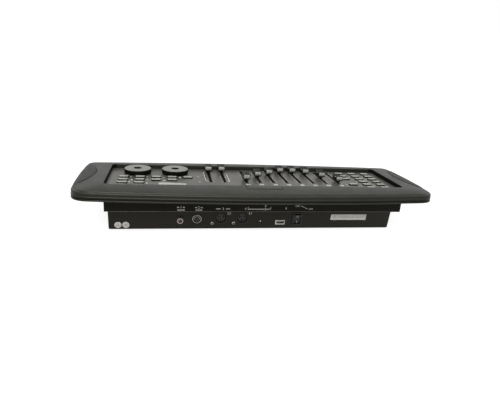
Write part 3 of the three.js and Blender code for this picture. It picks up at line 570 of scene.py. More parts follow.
def board_finish(name, face_height, tilt):
    """Green resist with wavy tracks below the face, dark component bodies above it."""
    material, tree, shader, place = new_finish(name, "#1c4a33", 0.45)
    turn_flat = add(tree, "ShaderNodeMapping", {"Vector": place, "Rotation": (-tilt, 0, 0)},
                    vector_type="POINT")
    height = add(tree, "ShaderNodeSeparateXYZ", {"Vector": turn_flat.outputs["Vector"]})
    above = add(tree, "ShaderNodeMath", {0: height.outputs["Z"], 1: face_height},
                operation="GREATER_THAN")
    tracks = add(tree, "ShaderNodeTexWave",
                 {"Vector": place, "Scale": per_metre(9), "Distortion": 6.0, "Detail": 1.0},
                 bands_direction="X")
    copper = add(tree, "ShaderNodeValToRGB", {"Fac": tracks.outputs["Fac"]})
    for element, position, colour in zip(copper.color_ramp.elements, (0.62, 0.68), ("#1b4630", "#2c6243")):
        element.position, element.color = position, linear(colour)
    mix = add(tree, "ShaderNodeMix", data_type="RGBA")
    tree.links.new(above.outputs["Value"], mix.inputs["Factor"])
    tree.links.new(copper.outputs["Color"], mix.inputs[6])
    mix.inputs[7].default_value = linear("#2a2a2c")
    tree.links.new(mix.outputs[2], shader.inputs["Base Color"])
    return material


board_height = (PANEL_ABOVE_TABLE + BOARD_FACE + FACE_MARGIN - MIDDLE_Y * SIN) * MM
main_board_finish = board_finish("FR4_green_resist_main_board", board_height, TILT)
jack_board_finish = board_finish("FR4_green_resist_jack_board", (FOOT_HEIGHT + JACK_BOARD_FACE) * MM, 0)
for node, finish in (("main_board", main_board_finish), ("jack_board", jack_board_finish)):
    frame["nodes"][node].data.materials.clear()
    frame["nodes"][node].data.materials.append(finish)
print("main board changes colour", round(board_height / MM, 2), "mm up its own normal")

# %% [markdown]
# ## The moulded shell
#
# The shell is a ring: a window in the middle, and a skin that falls away from it to a
# rounded rim, a flat band, a groove and a lip. Two outlines with the same number of
# points, the window's and the rim's, are all it takes. Each row of the skin lies a share
# of the way from one to the other, at a height that falls with the square of that share.
# The outlines are built from quadratic curves, so the long edges bow gently and the
# corners meet them without a kink.

# %% Outlines of the window and of the shell
CORNER_STEPS, LONG_STEPS, SIDE_STEPS = 18, 56, 44
WINDOW_HALF, WINDOW_REAR, WINDOW_FRONT = 215.2, 77.5, 29.5
SHELL_HALF, SHELL_REAR, SHELL_FRONT = 257.0, 114.5, 64.0
SIDE_BOW, REAR_BOW, FRONT_BOW = 2.0, 8.5, 7.0
REAR_CORNER, FRONT_CORNER, WINDOW_CORNER = 25.0, 14.0, 6.0


def bowed(start, control, end, steps):
    """Quadratic curve: start, control and end weigh (1 - t)^2, 2 t (1 - t) and t^2."""
    t = np.linspace(0, 1, steps, endpoint=False)[:, None]
    first, middle, last = (np.array(point) for point in (start, control, end))
    return (1 - t) ** 2 * first + 2 * t * (1 - t) * middle + t ** 2 * last


def outline(half, rear, front, bows, corners):
    """Eight curves, counter-clockwise from the rear end of the right side: a corner's control
    point is where the two neighbouring edges would meet if they ran on straight."""
    (side_bow, rear_bow, front_bow), (rear_corner, front_corner) = bows, corners
    side_x, rear_u, front_u = half - side_bow, rear - rear_bow, front_bow - front
    rear_x, front_x = side_x - rear_corner, side_x - front_corner
    side_rear, side_front = rear_u - rear_corner, front_u + front_corner
    rear_slope, front_slope = 2 * rear_bow / rear_x, 2 * front_bow / front_x
    side_slope = 4 * side_bow / (side_rear - side_front)
    rear_knee = (side_x - side_slope * rear_corner, rear_u - rear_slope * rear_corner)
    front_knee = (side_x - side_slope * front_corner, front_u + front_slope * front_corner)
    side_middle = (side_x + 2 * side_bow, (side_rear + side_front) / 2)
    legs = [
        ((side_x, side_rear), rear_knee, (rear_x, rear_u), CORNER_STEPS),
        ((rear_x, rear_u), (0, rear_u + 2 * rear_bow), (-rear_x, rear_u), LONG_STEPS),
        ((-rear_x, rear_u), (-rear_knee[0], rear_knee[1]), (-side_x, side_rear), CORNER_STEPS),
        ((-side_x, side_rear), (-side_middle[0], side_middle[1]), (-side_x, side_front), SIDE_STEPS),
        ((-side_x, side_front), (-front_knee[0], front_knee[1]), (-front_x, front_u), CORNER_STEPS),
        ((-front_x, front_u), (0, front_u - 2 * front_bow), (front_x, front_u), LONG_STEPS),
        ((front_x, front_u), front_knee, (side_x, side_front), CORNER_STEPS),
        ((side_x, side_front), side_middle, (side_x, side_rear), SIDE_STEPS),
    ]
    return np.concatenate([bowed(*leg) for leg in legs])


def window_outline(growth):
    """The window's outline, moved out by the growth. Its sides are straight, so no bows."""
    corner = WINDOW_CORNER + growth
    return outline(WINDOW_HALF + growth, WINDOW_REAR + growth, WINDOW_FRONT + growth,
                   (0, 0, 0), (corner, corner))


def shell_outline(inset):
    """The rim's outline, moved in by the inset."""
    return outline(SHELL_HALF - inset, SHELL_REAR - inset, SHELL_FRONT - inset,
                   (SIDE_BOW, REAR_BOW, FRONT_BOW), (REAR_CORNER - inset, FRONT_CORNER - inset))


print("points in each outline:", len(shell_outline(0)))

# %% [markdown]
# ### Grip pads
#
# A pad is the part of the skin that lies inside a large circle near each end. To keep its
# edge crisp, the edge should run along rows of the mesh and not across them. So each
# station finds the share at which its own line enters the circle, which is a quadratic
# equation, and the rows crowd round that share.

# %% Where the pads begin
PAD_RADIUS, PAD_CENTRE_X, PAD_CENTRE_U, PAD_RISE = 86.0, 320.0, 16.0, 0.7
CREST, DROP, RIM_ROUND, WINDOW_ROUND = 6.2, 4.2, 2.0, 0.8

inner_edge, outer_edge = window_outline(WINDOW_ROUND), shell_outline(RIM_ROUND)
leg = outer_edge - inner_edge
leg_length = np.linalg.norm(leg, axis=1)
pad_centre = np.stack([np.copysign(PAD_CENTRE_X, inner_edge[:, 0]),
                       np.full(len(leg), PAD_CENTRE_U)], axis=1)
from_centre = inner_edge - pad_centre
square = (leg ** 2).sum(axis=1)
cross = (from_centre * leg).sum(axis=1)
rest = (from_centre ** 2).sum(axis=1) - PAD_RADIUS ** 2
discriminant = np.maximum(cross ** 2 - square * rest, 0)
NO_PAD = 2.0
entry = np.where(cross ** 2 > square * rest, (-cross - np.sqrt(discriminant)) / square, NO_PAD)
entry = np.where(entry > 0, entry, NO_PAD)
pad_edge = np.clip(entry, 0.05, 0.88)
pad_strength = np.clip((0.90 - entry) / 0.03, 0, 1)
print("stations with a pad:", int((pad_strength > 0.5).sum()))

# %% [markdown]
# ### Skin, rim, band and underside
#
# The rows go once round the section of the wall: up the window, over the top, down the
# outside, and back along the hollow underneath, 2.6 mm inside the skin.

# %% Rows of the shell
WALL, COLLAR = 2.6, 3.0
RIM = CREST - DROP
BEAD_RISE, BEAD_WIDTH = 1.2, 3.0
CREASE_DROP, CREASE_WIDTH = 0.9, 0.9
STEP_START, STEP_WIDTH = 0.4, 1.2
MOAT_SHARE, MOAT_PLACE, MOAT_WIDTH = 1.3, 0.8, 0.6
BAND_FOOT, GROOVE_FOOT = RIM - 6.5, RIM - 8.3
LIP_TOP, LIP_FOOT = RIM - 9.3, RIM - 11.4


def smooth_step(x):
    """x^2 (3 - 2 x) between 0 and 1: it starts and ends level."""
    x = np.clip(x, 0, 1)
    return x * x * (3 - 2 * x)


def row(points, height):
    """Flat points (x, u) with a height added, one for all or one for each."""
    height = np.broadcast_to(height, len(points))
    return np.concatenate([points, height[:, None]], axis=1)


def skin_row(share):
    """A share of the way out: the height is crest - drop * share^2. It steps down 0.9 mm just
    before the rim and climbs again to a bead on it, which gives a dark line and a bright
    one. Inside a pad it is raised by a step 1.2 mm wide behind a narrow moat."""
    to_rim = (1 - share) * leg_length
    bead = BEAD_RISE * np.clip((BEAD_WIDTH - to_rim) / BEAD_WIDTH, 0, 1)
    crease = CREASE_DROP * np.clip((BEAD_WIDTH + CREASE_WIDTH - to_rim) / CREASE_WIDTH, 0, 1)
    past_edge = (share - pad_edge) * leg_length
    moat = MOAT_SHARE * np.exp(-((past_edge + MOAT_PLACE) / MOAT_WIDTH) ** 2)
    step = smooth_step((past_edge + STEP_START) / STEP_WIDTH) - moat
    height = CREST - DROP * share ** 2 + (bead - crease) + PAD_RISE * pad_strength * step
    return row(inner_edge + share[:, None] * leg, height)


INNER_SHARES = (0.08, 0.2, 0.35, 0.5, 0.65, 0.8, 0.92)
PAD_OFFSETS = (-1.6, -1.1, -0.7, -0.3, 0.0, 0.3, 0.6, 0.9)
RIM_OFFSETS = (4.1, 3.9, 3.45, 3.0, 2.0, 1.0, 0.0)


def skin_rows():
    """Even rows to the pad's edge, close rows across it, even rows on, and close rows again
    over the crease and the bead at the rim. Distances are in mm from the edge they follow."""
    before = [(pad_edge + PAD_OFFSETS[0] / leg_length) * t for t in INNER_SHARES]
    across = [pad_edge + offset / leg_length for offset in PAD_OFFSETS]
    first, last = across[-1], 1 - 4.5 / leg_length
    between = [first + np.maximum(last - first, 0) * t for t in (0.25, 0.5, 0.75, 1.0)]
    rim = [1 - np.minimum(offset, (1 - first) * leg_length) / leg_length for offset in RIM_OFFSETS]
    return [skin_row(share) for share in before + across + between + rim]


window_rows = [row(window_outline(0), h) for h in (0.3, 2.5, CREST - WINDOW_ROUND)]
window_rows += [row(window_outline(WINDOW_ROUND * (1 - math.cos(t))),
                    CREST - WINDOW_ROUND + WINDOW_ROUND * math.sin(t)) for t in (0.5, 1.0, 1.45)]
top_rows = skin_rows()
rim_rows = [row(shell_outline(RIM_ROUND * (1 - math.sin(t))), RIM - RIM_ROUND * (1 - math.cos(t))
                + (0.3 + PAD_RISE * pad_strength) * (1 - math.sin(t)))
            for t in (0.3, 0.6, 0.9, 1.2, math.pi / 2)]
band = [(0.0, BAND_FOOT + 2.6), (0.0, BAND_FOOT + 1.5), (-0.35, BAND_FOOT + 1.0),
        (-0.5, BAND_FOOT + 0.6), (-0.42, BAND_FOOT + 0.2), (0.0, BAND_FOOT), (1.4, BAND_FOOT - 0.05)]
groove = [(1.9, BAND_FOOT - 0.3), (1.9, GROOVE_FOOT), (1.6, GROOVE_FOOT - 0.35), (0.8, LIP_TOP + 0.45)]
lip = [(0.1, LIP_TOP + 0.2), (-0.45, LIP_TOP - 0.1), (-0.65, LIP_TOP - 0.5),
       (-0.6, LIP_FOOT + 0.8), (-0.4, LIP_FOOT + 0.3), (0.0, LIP_FOOT + 0.05), (0.5, LIP_FOOT),
       (2.3, LIP_FOOT), (2.6, LIP_FOOT + 0.3)]
hollow = [(3.6, LIP_FOOT + 1.6), (3.9, BAND_FOOT), (4.6, RIM - WALL - RIM_ROUND)]
outside_rows = [row(shell_outline(inset), h) for inset, h in band + groove + lip + hollow]
ceiling_in, ceiling_out = window_outline(COLLAR), shell_outline(RIM_ROUND + WALL)
ceiling_rows = [row(ceiling_in + share * (ceiling_out - ceiling_in), CREST - DROP * share ** 2 - WALL)
                for share in (0.92, 0.8, 0.65, 0.5, 0.35, 0.2, 0.0)]
collar_rows = [row(window_outline(COLLAR), 0.5), row(window_outline(COLLAR - 0.2), 0.3)]
shell_rings = np.stack(window_rows + top_rows + rim_rows + outside_rows + ceiling_rows + collar_rows)

# The pad's finish runs from the row on its edge to where the crease begins. The
# window's wall is painted near-black as shade, but for its front side.
first_pad_row = len(window_rows) + len(INNER_SHARES) + PAD_OFFSETS.index(0.0)
last_pad_row = len(window_rows) + len(top_rows) - len(RIM_OFFSETS) + 1
skin_finish = np.zeros(shell_rings.shape[:2], int)
skin_finish[first_pad_row:last_pad_row] = (pad_strength > 0.5) & (np.roll(pad_strength, -1) > 0.5)
WINDOW_WALL_ROWS = 4
FRONT_START = 3 * CORNER_STEPS + LONG_STEPS + SIDE_STEPS
skin_finish[:WINDOW_WALL_ROWS] = 2
skin_finish[:WINDOW_WALL_ROWS, FRONT_START:FRONT_START + LONG_STEPS] = 0
print("rows in the shell's section:", len(shell_rings))

# %% [markdown]
# Stiffening ribs cross the hollow. Each is a thin plate whose underside slants from the
# window's collar down to the lip and whose top ends halfway up in the skin. At both ends a
# narrow rebate runs beside the steel panel's edge, so no light leaks in under the wall.

# %% Ribs under the shell, then the whole shell
RIB_HALF = 1
END_RIB_IN, END_RIB_OUT, REAR_RIB_IN = 216.7, 251.4, 79.0
REBATE_X, REBATE_U, REBATE_HALF, REBATE_HALF_LENGTH = 216.9, 24.0, 0.95, 52.0


def rib(inner, outer, middle, across_x):
    """A plate 2 mm thick from inner to outer, along x or along u, its top following the skin."""
    away = np.linspace(inner, outer, 12)
    share = (away - inner) / (outer - inner)
    top = CREST - DROP * share ** 2 - WALL / 2 - 1.2 * share
    foot = 0.6 + (LIP_FOOT + 0.2 - 0.6) * smooth_step(share * 1.02) * share
    far = np.concatenate([away, away[::-1]])
    height = np.concatenate([foot, top[::-1]])
    sides = np.array([middle - RIB_HALF, middle + RIB_HALF])[:, None]
    far, height, sides = np.broadcast_arrays(far, height, sides)
    order = (far, sides, height) if across_x else (sides, far, height)
    return np.stack(order, axis=-1)


rib_us = [WINDOW_REAR * share - WINDOW_FRONT * (1 - share) for share in (0.12, 0.5, 0.88)]
rib_xs = [WINDOW_HALF * (2 * share - 1) for share in (0.08, 0.36, 0.64, 0.92)]
end_ribs = [rib(side * END_RIB_IN, side * END_RIB_OUT, u, True) for u in rib_us for side in (1, -1)]
rear_ribs = [rib(REAR_RIB_IN, SHELL_REAR - REAR_BOW - WALL - 1.0, x, False) for x in rib_xs]
rebate = stacked([(REBATE_HALF, REBATE_HALF_LENGTH, 0.2, h) for h in (-2.4, 0.5)])
end_rebates = [rebate + [side * REBATE_X, REBATE_U, 0] for side in (1, -1)]
shell_parts = [part(shell_rings, on_panel(0, 0), skin_finish.ravel(), closed=True)]
shell_parts += [part(rings, on_panel(0, 0)) for rings in end_ribs + rear_ribs + end_rebates]
shell = fit(make_piece("moulded_shell", shell_parts, [shell_abs, grip_abs, painted_shade_abs], 40),
            "desk", "top_shell")
print("shell faces:", len(shell.data.polygons))

# %% [markdown]
# ### Bare plate on the rear bezel
#
# A shallow plate lies in the middle of the rear bezel. Under it a thin near-black sheet
# shows as a line round it, a painted shadow. The plate stays bare. To lie on the curved
# skin it needs the skin's height at any place: the share is how far u has come from the
# window to the bowed rim, found by a few rounds of a fixed-point step.

# %% A plate that follows the skin


def bezel_height(x, u):
    """Height of the rear bezel at (x, u): station, then share, then crest - drop share^2."""
    share = np.full(np.broadcast(x, u).shape, 0.5)
    rear_half_in, rear_half_out = WINDOW_HALF - WINDOW_CORNER, SHELL_HALF - SIDE_BOW - REAR_CORNER
    for _ in range(6):
        half = rear_half_in + share * (rear_half_out - rear_half_in)
        t = 0.5 - x / (2 * half)
        rim = SHELL_REAR - RIM_ROUND - REAR_BOW + 4 * REAR_BOW * t * (1 - t)
        share = (u - WINDOW_REAR - WINDOW_ROUND) / (rim - WINDOW_REAR - WINDOW_ROUND)
    return CREST - DROP * share ** 2


PLATE_AT = np.array([-0.8, 86.2, 0.0])


def laid_on_bezel(levels):
    """Levels moved to the plate's place, each point then lifted by the skin's height there."""
    rings = stacked(levels, steps=8) + PLATE_AT
    rings[..., 2] += bezel_height(rings[..., 0], rings[..., 1])
    return rings


plate_rings = laid_on_bezel([
    (25.2, 5.9, 1.6, -0.5), (25.2, 5.9, 1.6, 0.22), (25.05, 5.75, 1.5, 0.34), (24.8, 5.5, 1.3, 0.4),
    (22, 4.4, 1.0, 0.4), (17, 3.2, 0.8, 0.4), (10, 2.0, 0.6, 0.4), (3, 0.8, 0.3, 0.4)])
# A near-black sheet just larger than the plate: a painted shadow line round it.
shadow_line_rings = laid_on_bezel([
    (26.0, 6.7, 2.2, -0.5), (26.0, 6.7, 2.2, 0.06), (25.4, 6.1, 1.8, 0.06), (24.0, 4.8, 1.0, -0.2)])
plate_parts = [part(plate_rings, on_panel(0, 0)), part(shadow_line_rings, on_panel(0, 0), 1)]
plate = fit(make_piece("bare_bezel_plate", plate_parts, [shell_abs, painted_shade_abs], 50), "desk")
print("plate rises to", round(float(plate_rings[..., 2].max()), 2), "mm over the panel")

# %% [markdown]
# ## Folded steel, and copies with soft edges
#
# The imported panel, base and sockets have the right holes and folds, but every edge is
# razor sharp, and real edges catch the light because paint and tools round them. So
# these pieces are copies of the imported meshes: doubles merged, flat faces joined, and a
# Bevel modifier that reads a weight from each edge. On the sheet steel, folds get the
# full radius and cut edges a part of it.

# %% Copies with a weighted bevel


def softened_copy(node, name, finishes, radius, edge_share=1.0, is_fold=None, finish_at=None):
    """Edges over 25 degrees get bevel weight 1 if is_fold says so, else edge_share; finish_at
    numbers a face by the place of its centre in millimetres."""
    mesh = bpy.data.meshes.new(name)
    work = bmesh.new()
    work.from_mesh(frame["nodes"][node].data)
    bmesh.ops.remove_doubles(work, verts=work.verts, dist=0.002 * MM)
    bmesh.ops.dissolve_limit(work, verts=work.verts, edges=work.edges, angle_limit=math.radians(1))
    weight = work.edges.layers.float.new("bevel_weight_edge")
    for edge in work.edges:
        if len(edge.link_faces) == 2 and edge.calc_face_angle(0) > math.radians(25):
            a, b = (np.array(vert.co) / MM for vert in edge.verts)
            edge[weight] = 1.0 if is_fold and is_fold(a, b) else edge_share
    for finish in finishes:
        mesh.materials.append(finish)
    if finish_at:
        for face in work.faces:
            face.material_index = finish_at(np.array(face.calc_center_median()) / MM)
    work.to_mesh(mesh)
    work.free()
    mesh.polygons.foreach_set("use_smooth", np.ones(len(mesh.polygons), bool))
    mesh.set_sharp_from_angle(angle=math.radians(35))
    piece = add_object(name, mesh)
    bevel = piece.modifiers.new("rounded_edges", "BEVEL")
    bevel.limit_method = "WEIGHT"
    bevel.width = radius * MM
    bevel.segments = 3
    bevel.use_clamp_overlap = True
    bevel.harden_normals = True
    return fit(piece, "desk", node)


def long_edge(a, b):
    """A fold is longer than any side of a slot or a socket's hole."""
    return np.linalg.norm(a - b) > 90


def panel_side(c):
    """0 on the panel's top face, where w = (z - lift) cos - (y - middle) sin is about 0."""
    return 0 if (c[2] - PANEL_ABOVE_TABLE) * COS - (c[1] - MIDDLE_Y) * SIN > -0.05 else 1


panel = softened_copy("control_panel", "steel_panel", [panel_paint, shaded_flange_paint], 1.0, 0.15,
                      long_edge, panel_side)
base = softened_copy("base_pan", "steel_base", [base_paint], 0.5, 0.4, long_edge)
print("panel edges before the bevel:", len(panel.data.edges))

# %% [markdown]
# ## Fader caps
#
# A cap has two rounded ridges with a valley for the finger, seen from the side. The
# outline is drawn once, from circles and straight runs, and swept across. A grey insert
# with a rounded face is pressed into each end of the black body. A neck joins the cap to
# the flat steel lever that comes up through the slot. A white line across the valley's
# floor shows where the cap stands on its scale.

# %% One fader cap, ten times
CAP_LENGTH, CAP_WIDTH, CAP_HEIGHT, CAP_LIFT = 16.0, 11.0, 8.3, 3.5


def arc(centre, radius, start, stop, steps):
    """Points of a circle between two angles in degrees."""
    t = np.radians(np.linspace(start, stop, steps))
    return np.stack([centre[0] + radius * np.cos(t), centre[1] + radius * np.sin(t)], axis=1)


def cap_outline():
    """Counter-clockwise from the lower right: out to a ridge of radius 1.8, down into a
    valley with small hollow curves, up to the other ridge and back."""
    half, top = CAP_LENGTH / 2, CAP_HEIGHT
    right_ridge = arc((half - 1.8, top - 1.8), 1.8, 0, 178, 10)
    right_hollow = arc((half - 5.0, top - 1.8), 1.4, 360, 272, 6)
    right_foot = arc((half - 0.6, 0.6), 0.6, -90, 0, 4)
    right_side = np.concatenate([right_foot, right_ridge, right_hollow])
    left_side = right_side[::-1] * [-1, 1]
    return np.concatenate([right_side, left_side]) + [0, CAP_LIFT]


FADER_COUNT, FIRST_FADER_X, FADER_PITCH = 8, -128.8, 20.7
FADER_XS = {f"fader_cap_{i + 1}": FIRST_FADER_X + FADER_PITCH * i for i in range(FADER_COUNT)}
FADER_XS.update({"speed_fader_cap": 48.5, "fade_fader_cap": 69.2})
REST_SHARES = (0.865, 0.493, 0.172, 0.085, 0.095, 0.312, 0.53, 0.845, 0.062, 0.088)
FADER_MIDDLE, FADER_TRAVEL = 10.0, 60.0

cap_rings = swept(cap_outline(), CAP_WIDTH / 2, 0.6)
insert_face = arc((CAP_LENGTH / 2 - 3.7, CAP_LIFT + 4.2), 4.5, -40, 40, 9)
insert_back = np.array([(5.2, insert_face[-1, 1]), (5.2, insert_face[0, 1])])
insert_outline = np.concatenate([insert_face, insert_back])
inserts = [swept(insert_outline, 4.6, 0.4), swept(insert_outline[::-1] * [-1, 1], 4.6, 0.4)]
neck = stacked(rounded_levels(3.0, 4.5, 0.8, 0.8, CAP_LIFT + 1.0, 0.1, 1))
lever = stacked([(0.6, 1.5, 0.15, -13.9), (0.6, 1.5, 0.15, CAP_LIFT + 1.5)])
index_line = stacked(rounded_levels(4.9, 0.35, 0.2, CAP_LIFT + 4.4, CAP_LIFT + 5.2, 0.05, 1))
cap_finishes = [cap_abs, zinc, ink, cap_grey_abs]
for (name, x), share in zip(FADER_XS.items(), REST_SHARES):
    where = on_panel(x, FADER_MIDDLE + (share - 0.5) * FADER_TRAVEL)
    parts = [part(cap_rings, where), part(neck, where), part(lever, where, 1), part(index_line, where, 2)]
    parts += [part(insert, where, 3) for insert in inserts]
    cap = fit(make_piece(name.replace("cap", "knob"), parts, cap_finishes, 40), name, name)
print("caps made:", len(FADER_XS))

# %% [markdown]
# Under each slot lie two strips of black felt that close in on the lever from both sides.
# They keep dust out of the potentiometer; their near-black is also painted shade, which is
# why a slot looks black.

# %% Dust strips under the slots
STRIP_OFFSET = 2.18
strip = stacked([(1.5, 35.5, 0.1, -1.75), (1.5, 35.5, 0.1, -1.3)])
dust_strips = [part(strip, on_panel(x + side * STRIP_OFFSET, FADER_MIDDLE))
               for x in FADER_XS.values() for side in (-1, 1)]
fit(make_piece("dust_strips", dust_strips, [felt_and_shade]), "desk")
print("strips laid:", len(dust_strips))

# %% [markdown]
# ## Jog wheels
#
# Each wheel is a silver-grey disc on a black knurled skirt. The knurl is part of the
# radius: it swings between two values as the angle goes round, which a turned profile
# does with one extra array. A shallow dimple lets a fingertip drive it; its bowl is painted
# near-black as shade.

# %% Knurled wheels with a dimple
WHEEL_RADIUS, WHEEL_LIFT, WHEEL_TOP = 19.85, 0.9, 7.6
KNURLS, KNURL_DEPTH = 36, 0.7
DIMPLE_RADIUS, DIMPLE_DEPTH = 6.8, 2.7


def knurled_skirt():
    """Radius = R - depth (1 - |cos(n t / 2)|^0.6): broad ridges with narrow hollows."""
    t = np.linspace(0, 2 * np.pi, KNURLS * 8, endpoint=False)
    ripple = KNURL_DEPTH * (1 - np.abs(np.cos(KNURLS * t / 2)) ** 0.6)
    levels = np.array([(8.0, WHEEL_LIFT, 0.0), (18.6, WHEEL_LIFT, 0.0), (19.5, WHEEL_LIFT + 0.2, 0.8),
                       (WHEEL_RADIUS, WHEEL_LIFT + 0.6, 1.0), (WHEEL_RADIUS, 5.4, 1.0),
                       (19.6, 5.8, 0.7), (19.1, 6.0, 0.0), (8.0, 6.0, 0.0)])
    radius = levels[:, :1] - ripple * levels[:, 2:]
    height = np.broadcast_to(levels[:, 1:2], radius.shape)
    return np.stack([radius * np.cos(t), radius * np.sin(t), height], axis=-1)


def wheel_disc():
    """Disc with a rounded rim; the dimple is a bowl: h = top - depth + r^2 / 2R. The
    black of the skirt comes up round the disc's side, and the dimple's bowl is painted near-black as
    shade."""
    rim_curve = [(18.9, 5.7), (19.35, 5.9), (19.6, 6.35), (19.6, 6.8), (19.4, 7.2), (19.0, 7.45),
                 (18.4, 7.55), (17.6, WHEEL_TOP), (12, WHEEL_TOP), (6.1, WHEEL_TOP),
                 (5.9, WHEEL_TOP - 0.2)]
    hollow = [(r, WHEEL_TOP - DIMPLE_DEPTH + r * r / (2 * DIMPLE_RADIUS))
              for r in (5.6, 4.7, 3.8, 2.9, 2.0, 1.0, 0.2)]
    rings = turned([(7.0, 4.4), *rim_curve, *hollow], sides=96)
    numbers = np.zeros(rings.shape[:2], int)[:-1]
    numbers[:5] = numbers[len(rim_curve):] = 1
    return rings, np.concatenate([numbers.ravel(), [1, 1]])


wheel_shaft = turned([(2.7, -8.0), (3.0, -7.7), (3.0, 4.5)], sides=32)
skirt_rings, (disc_rings, disc_finish) = knurled_skirt(), wheel_disc()
for name, x in WHEEL_XS.items():
    where = on_panel(x, WHEEL_U)
    parts = [part(skirt_rings, where, 1, closed=True), part(disc_rings, where, disc_finish),
             part(wheel_shaft, where, 2)]
    wheel = fit(make_piece(name.replace("jog_wheel", "jog_knob"), parts,
                           [wheel_abs, black_rubber_and_shade, zinc], 38), name, name)
print("wheels made:", len(WHEEL_XS), "with", KNURLS, "ridges each")

# %% [markdown]
# ## Push buttons
#
# A key is grey silicone with a crowned top that stands 1.9 mm over the panel. Under the
# panel it has a flange that keeps it in and a stem that ends over its switch. The whole
# key is one stack of rounded rectangles; the rows from the middle of its edge up are grey,
# and those below are near-black, painted shade on its sides.

# %% Silicone keys
KEY_HALF, KEY_LENGTH_HALF, KEY_CORNER, KEY_RISE = 6.5, 3.75, 1.6, 1.9
# The lowest rows of the key's visible edge, painted near-black as shade on its sides.
SHADED_EDGE_ROWS = 3


def key_rows():
    """Stem, flange, cap, then a top edge rounded by a quarter circle and a crown on it. The
    rows above the middle of the edge are grey; those below are near-black, painted shade."""
    under = [(2.0, 2.0, 0.3, -11.0), (2.0, 2.0, 0.3, -2.9), (7.5, 4.75, 0.6, -2.9),
             (7.5, 4.75, 0.6, -1.5), (KEY_HALF, KEY_LENGTH_HALF, KEY_CORNER, -1.5)]
    edge = rounded_levels(KEY_HALF, KEY_LENGTH_HALF, KEY_CORNER, 0.5, KEY_RISE - 0.3, 0.5, 4)
    crown = [(5.4, 2.9, 0.9, KEY_RISE - 0.17), (4.2, 2.0, 0.6, KEY_RISE - 0.06),
             (2.4, 1.0, 0.3, KEY_RISE - 0.01), (1.0, 0.5, 0.2, KEY_RISE)]
    rings = stacked(under + edge + crown, steps=4)
    numbers = np.ones(rings.shape[:2], int)[:-1]
    numbers[len(under) + SHADED_EDGE_ROWS:] = 0
    return rings, np.concatenate([numbers.ravel(), [1, 0]])


KEY_GROUPS = (("fixture", 12), ("scene", 4), ("function", 13))
LEFT_KEYS = [[0, 1, 2, 3, 4, 5], [0, 1, 2, 3, 4, 5], [0, 1, 2, 4]]
RIGHT_KEYS = [[0, 1, 2, 3], [0, 1, 2, 3], [0, 1], [0, 1], [0]]


def key_grid(columns, first_x, first_u, column_pitch, row_pitch):
    """Columns of the rows that hold a key: x = first + pitch * column, u = first + pitch * row."""
    return [(first_x + column_pitch * c, first_u + row_pitch * r)
            for c, rows in enumerate(columns) for r in rows]


def key_places():
    """Name and panel place of each key, the left group first and then the right one."""
    places = key_grid(LEFT_KEYS, -195.2, -16, 22.6, 15.4) + key_grid(RIGHT_KEYS, 194.2, 20.5, -23, 14.6)
    names = [f"{group}_button_{i + 1}" for group, count in KEY_GROUPS for i in range(count)]
    return dict(zip(names, places))


KEYS = key_places()
key_rings, key_finish = key_rows()
for name, (x, u) in KEYS.items():
    key = fit(make_piece(name.replace("button", "key"), [part(key_rings, on_panel(x, u), key_finish)],
                         [button_silicone, black_rubber_and_shade], 35), name, name)
print("keys made:", len(KEYS))

# %% [markdown]
# ## Display
#
# A clear window fills its cut-out. Four plain digits, all segments unlit, seem to lie under
# it: each is seven short bars, drawn as a darker film that stands a hair proud of the
# window, so that the two faces never share a plane.

# %% Window, digits and module
DISPLAY_X, DISPLAY_U = 125.0, 57.0


def segment_bars(middle):
    """Seven bars round two squares: three level ones and four upright ones."""
    level_bars = [(middle, b, 1.7, 0.35) for b in (-4.2, 0, 4.2)]
    upright_bars = [(middle + a, b, 0.35, 1.5) for a in (-2.3, 2.3) for b in (-2.1, 2.1)]
    return level_bars + upright_bars


display_at = on_panel(DISPLAY_X, DISPLAY_U)
window_rings = stacked(rounded_levels(19.5, 8.5, 0.5, -4.2, 0.4, 0.2, 3))
module_rings = stacked(rounded_levels(22.5, 11.5, 0.6, -9.5, -1.5, 0.3, 2))
pin_rings = stacked([(9.75, 1.5, 0.2, -16.1), (9.75, 1.5, 0.2, -9.0)])
bars = []
for middle in (-12.6, -4.2, 4.2, 12.6):
    for a, b, half_a, half_b in segment_bars(middle):
        bar = stacked([(half_a, half_b, 0.2, 0.3), (half_a, half_b, 0.2, 0.43)], steps=2)
        bars.append(part(bar + [a, b, 0], display_at, 1))
parts = [part(window_rings, display_at), part(module_rings, display_at, 2),
         part(pin_rings, display_at, 2), *bars]
display = fit(make_piece("display_window", parts, [window_acrylic, segment_grey, socket_abs], 40),
              "desk", "display_module")
print("display bars:", len(bars))

# %% [markdown]
# ## Printed marks and numbers
#
# The marks are thin closed slabs of ink. Straight ones are four-cornered stacks, and
# numbers come from Blender's own font: a text object is turned into a mesh, its doubles
# are merged, and only then are its points laid on the desk. All marks of one surface
# share a mesh.

# %% Ink helpers
INK_TOP = 0.05


def ink_bar(a, b, length, width, turn=0.0):
    """A thin slab centred at (a, b), turned by an angle in degrees."""
    half = np.array([[-1, -1], [1, -1], [1, 1], [-1, 1]]) * [length / 2, width / 2]
    c, s = math.cos(math.radians(turn)), math.sin(math.radians(turn))
    flat = half @ np.array([[c, s], [-s, c]]) + [a, b]
    return np.stack([row(flat, -INK_TOP), row(flat, INK_TOP)])


def ink_ring(a, b, outer, inner, sides=32):
    """A flat ring: a turned profile that closes on itself."""
    profile = [(inner, -INK_TOP), (outer, -INK_TOP), (outer, INK_TOP), (inner, INK_TOP)]
    return turned(profile, sides) + [a, b, 0]


